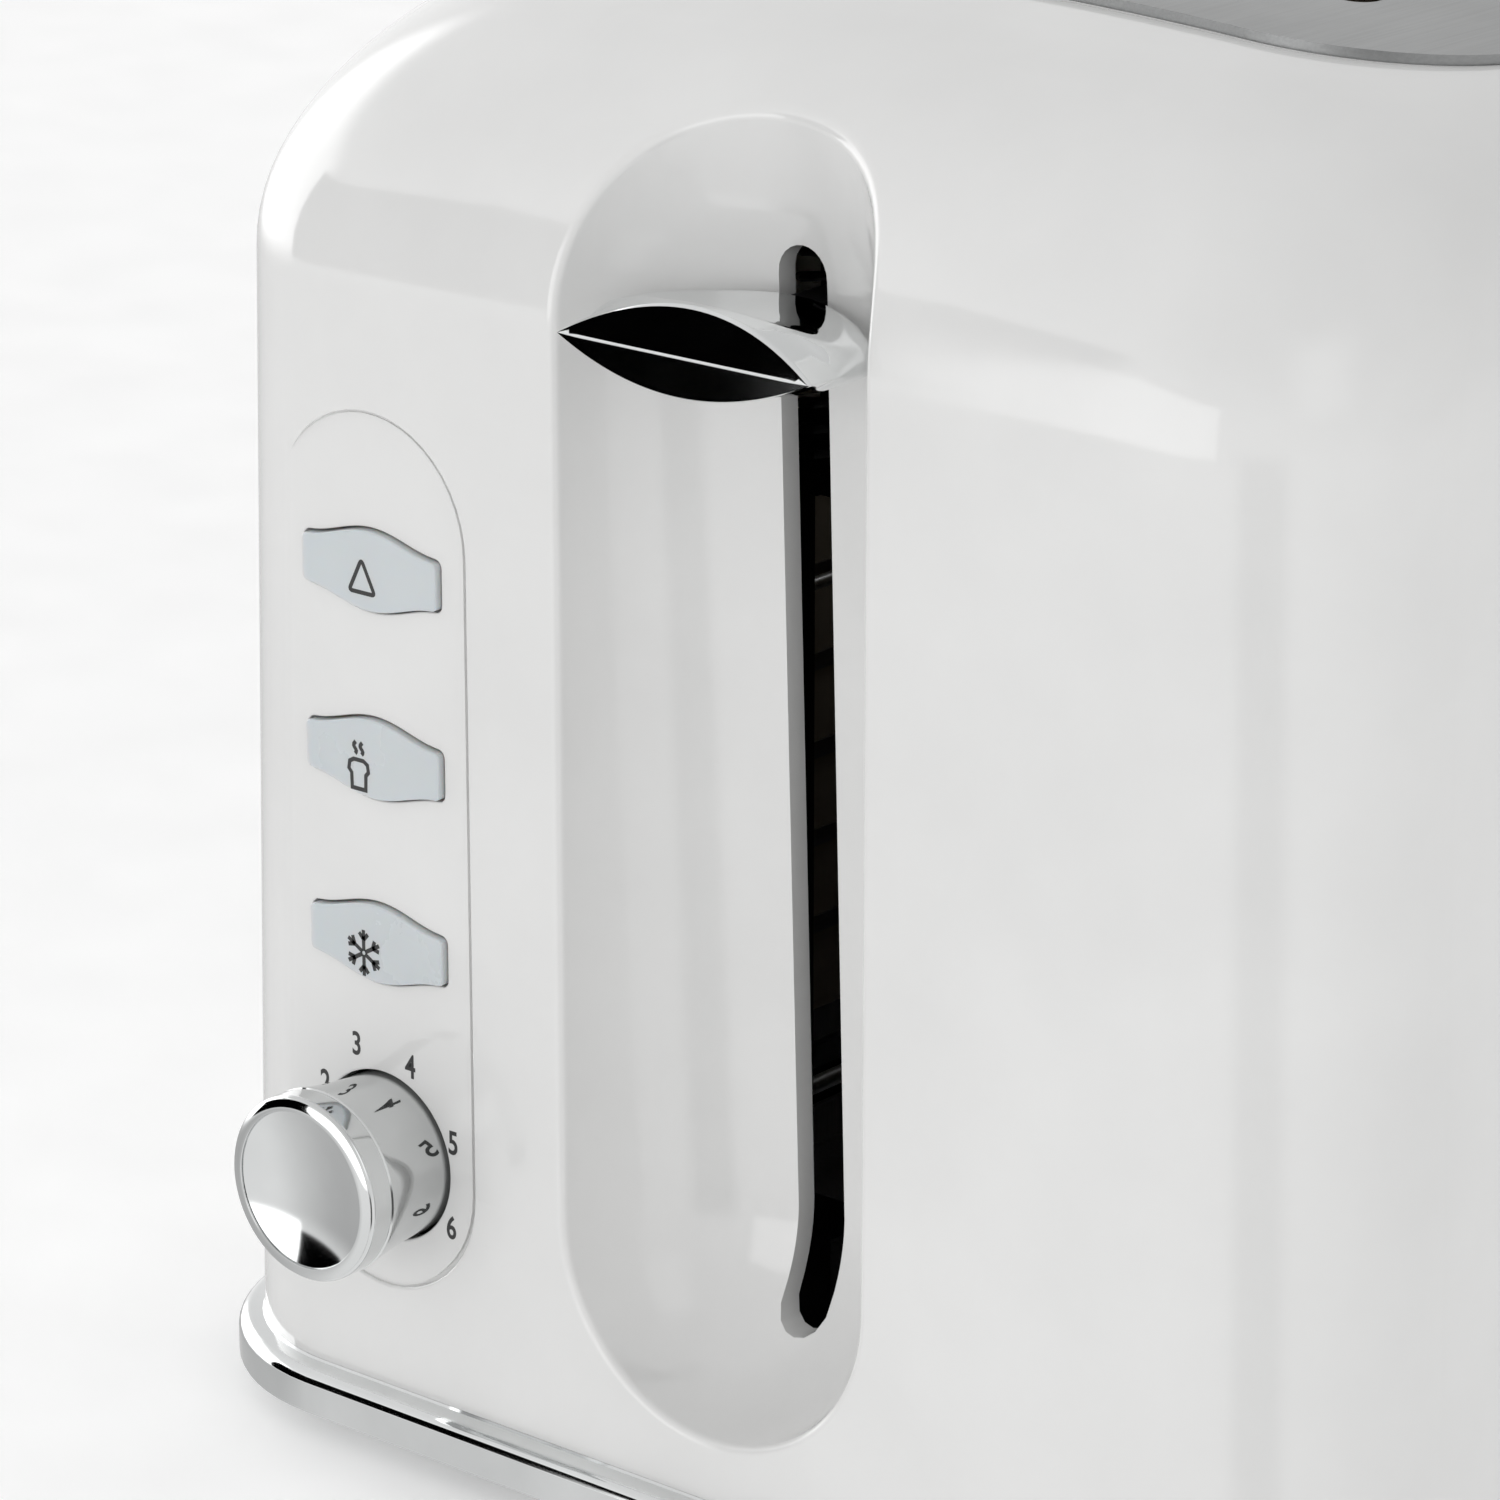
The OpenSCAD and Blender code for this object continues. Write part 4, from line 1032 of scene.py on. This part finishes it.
class Sky:
    """World light made of a soft dome and a few rectangles of light or shade."""

    def __init__(self):
        world = bpy.data.worlds.new("studio")
        bpy.context.scene.world = world
        world.use_nodes = True
        self.nodes = world.node_tree.nodes
        self.link = world.node_tree.links.new
        self.ground = self.nodes["Background"]
        self.way = self.nodes.new("ShaderNodeTexCoord").outputs["Generated"]

    def math(self, kind, a, b=None):
        node = self.nodes.new("ShaderNodeMath")
        node.operation = kind
        for socket, value in zip(node.inputs, (a, b)):
            if value is None:
                continue
            if isinstance(value, (int, float)):
                socket.default_value = value
            else:
                self.link(value, socket)
        return node.outputs[0]

    def along(self, axis):
        """How far the direction of view goes along an axis."""
        dot = self.nodes.new("ShaderNodeVectorMath")
        dot.operation = "DOT_PRODUCT"
        self.link(self.way, dot.inputs[0])
        dot.inputs[1].default_value = axis
        return dot.outputs["Value"]

    def ramp(self, value, low, high, to_low, to_high):
        """Smooth change between two values."""
        node = self.nodes.new("ShaderNodeMapRange")
        node.interpolation_type = "SMOOTHSTEP"
        sockets = ("From Min", "From Max", "To Min", "To Max")
        for socket, number in zip(sockets, (low, high, to_low, to_high)):
            node.inputs[socket].default_value = number
        self.link(value, node.inputs["Value"])
        return node.outputs["Result"]

    def panel(self, azimuth, elevation, width, height, edge):
        """1 inside a rectangle seen in a direction, 0 outside it."""
        a = math.radians(azimuth)
        e = math.radians(elevation)
        ahead = (math.sin(a) * math.cos(e), -math.cos(a) * math.cos(e), math.sin(e))
        right = (math.cos(a), math.sin(a), 0)
        up = Vector(right).cross(Vector(ahead)) * -1
        if up.z < 0:
            up = -up
        deep = self.math("MAXIMUM", self.along(ahead), 0.001)
        mask = None
        for axis, size in ((right, width), (tuple(up), height)):
            reach = math.tan(math.radians(size / 2))
            place = self.math("ABSOLUTE", self.math("DIVIDE", self.along(axis), deep))
            side = self.ramp(place, reach - edge / 2, reach + edge / 2, 1, 0)
            mask = side if mask is None else self.math("MULTIPLY", mask, side)
        return mask

    def blend(self, light, mask, level):
        """Light that turns to a level where the mask is 1."""
        step = self.math("MULTIPLY", mask, self.math("SUBTRACT", level, light))
        return self.math("ADD", light, step)


def studio():
    """Pale dome, dimmer overhead and behind, with softboxes for highlights and flags for dark lines."""
    sky = Sky()
    height = sky.along((0, 0, 1))
    across = sky.along((1, 0, 0))
    light = sky.ramp(height, 0.0, 0.8, SKY_LOW, SKY_HIGH)
    light = sky.math("MULTIPLY", light, sky.ramp(across, -0.9, 0.9, SKY_LEFT, SKY_RIGHT))
    light = sky.math("MULTIPLY", light, sky.ramp(sky.along((0, 1, 0)), 0.0, 0.9, 1.0, SKY_BACK))
    ground = sky.ramp(across, -0.85, -0.35, GROUND_LEFT, GROUND_RIGHT)
    light = sky.blend(light, sky.ramp(height, -0.25, -0.05, 1, 0), ground)
    for panel in PANELS.values():
        mask = sky.panel(*[panel[key] for key in ("azimuth", "elevation", "width", "height", "edge")])
        light = sky.blend(light, mask, panel["level"])
    sky.link(light, sky.ground.inputs["Strength"])
    sky.ground.inputs["Color"].default_value = (1, 1, 1, 1)


def camera():
    """Camera at the photograph's angle, to the right of the lever end and above it."""
    data = bpy.data.cameras.new("camera")
    data.lens = CAMERA_LENS
    data.sensor_width = 36
    data.clip_start = 0.01
    obj = bpy.data.objects.new("camera", data)
    obj.location = CAMERA_PLACE
    obj.rotation_euler = (math.radians(90 - CAMERA_DOWN), 0, math.radians(CAMERA_TURN))
    bpy.context.scene.collection.objects.link(obj)
    bpy.context.scene.camera = obj


floor()
studio()
camera()
bpy.context.scene.view_settings.view_transform = "Standard"
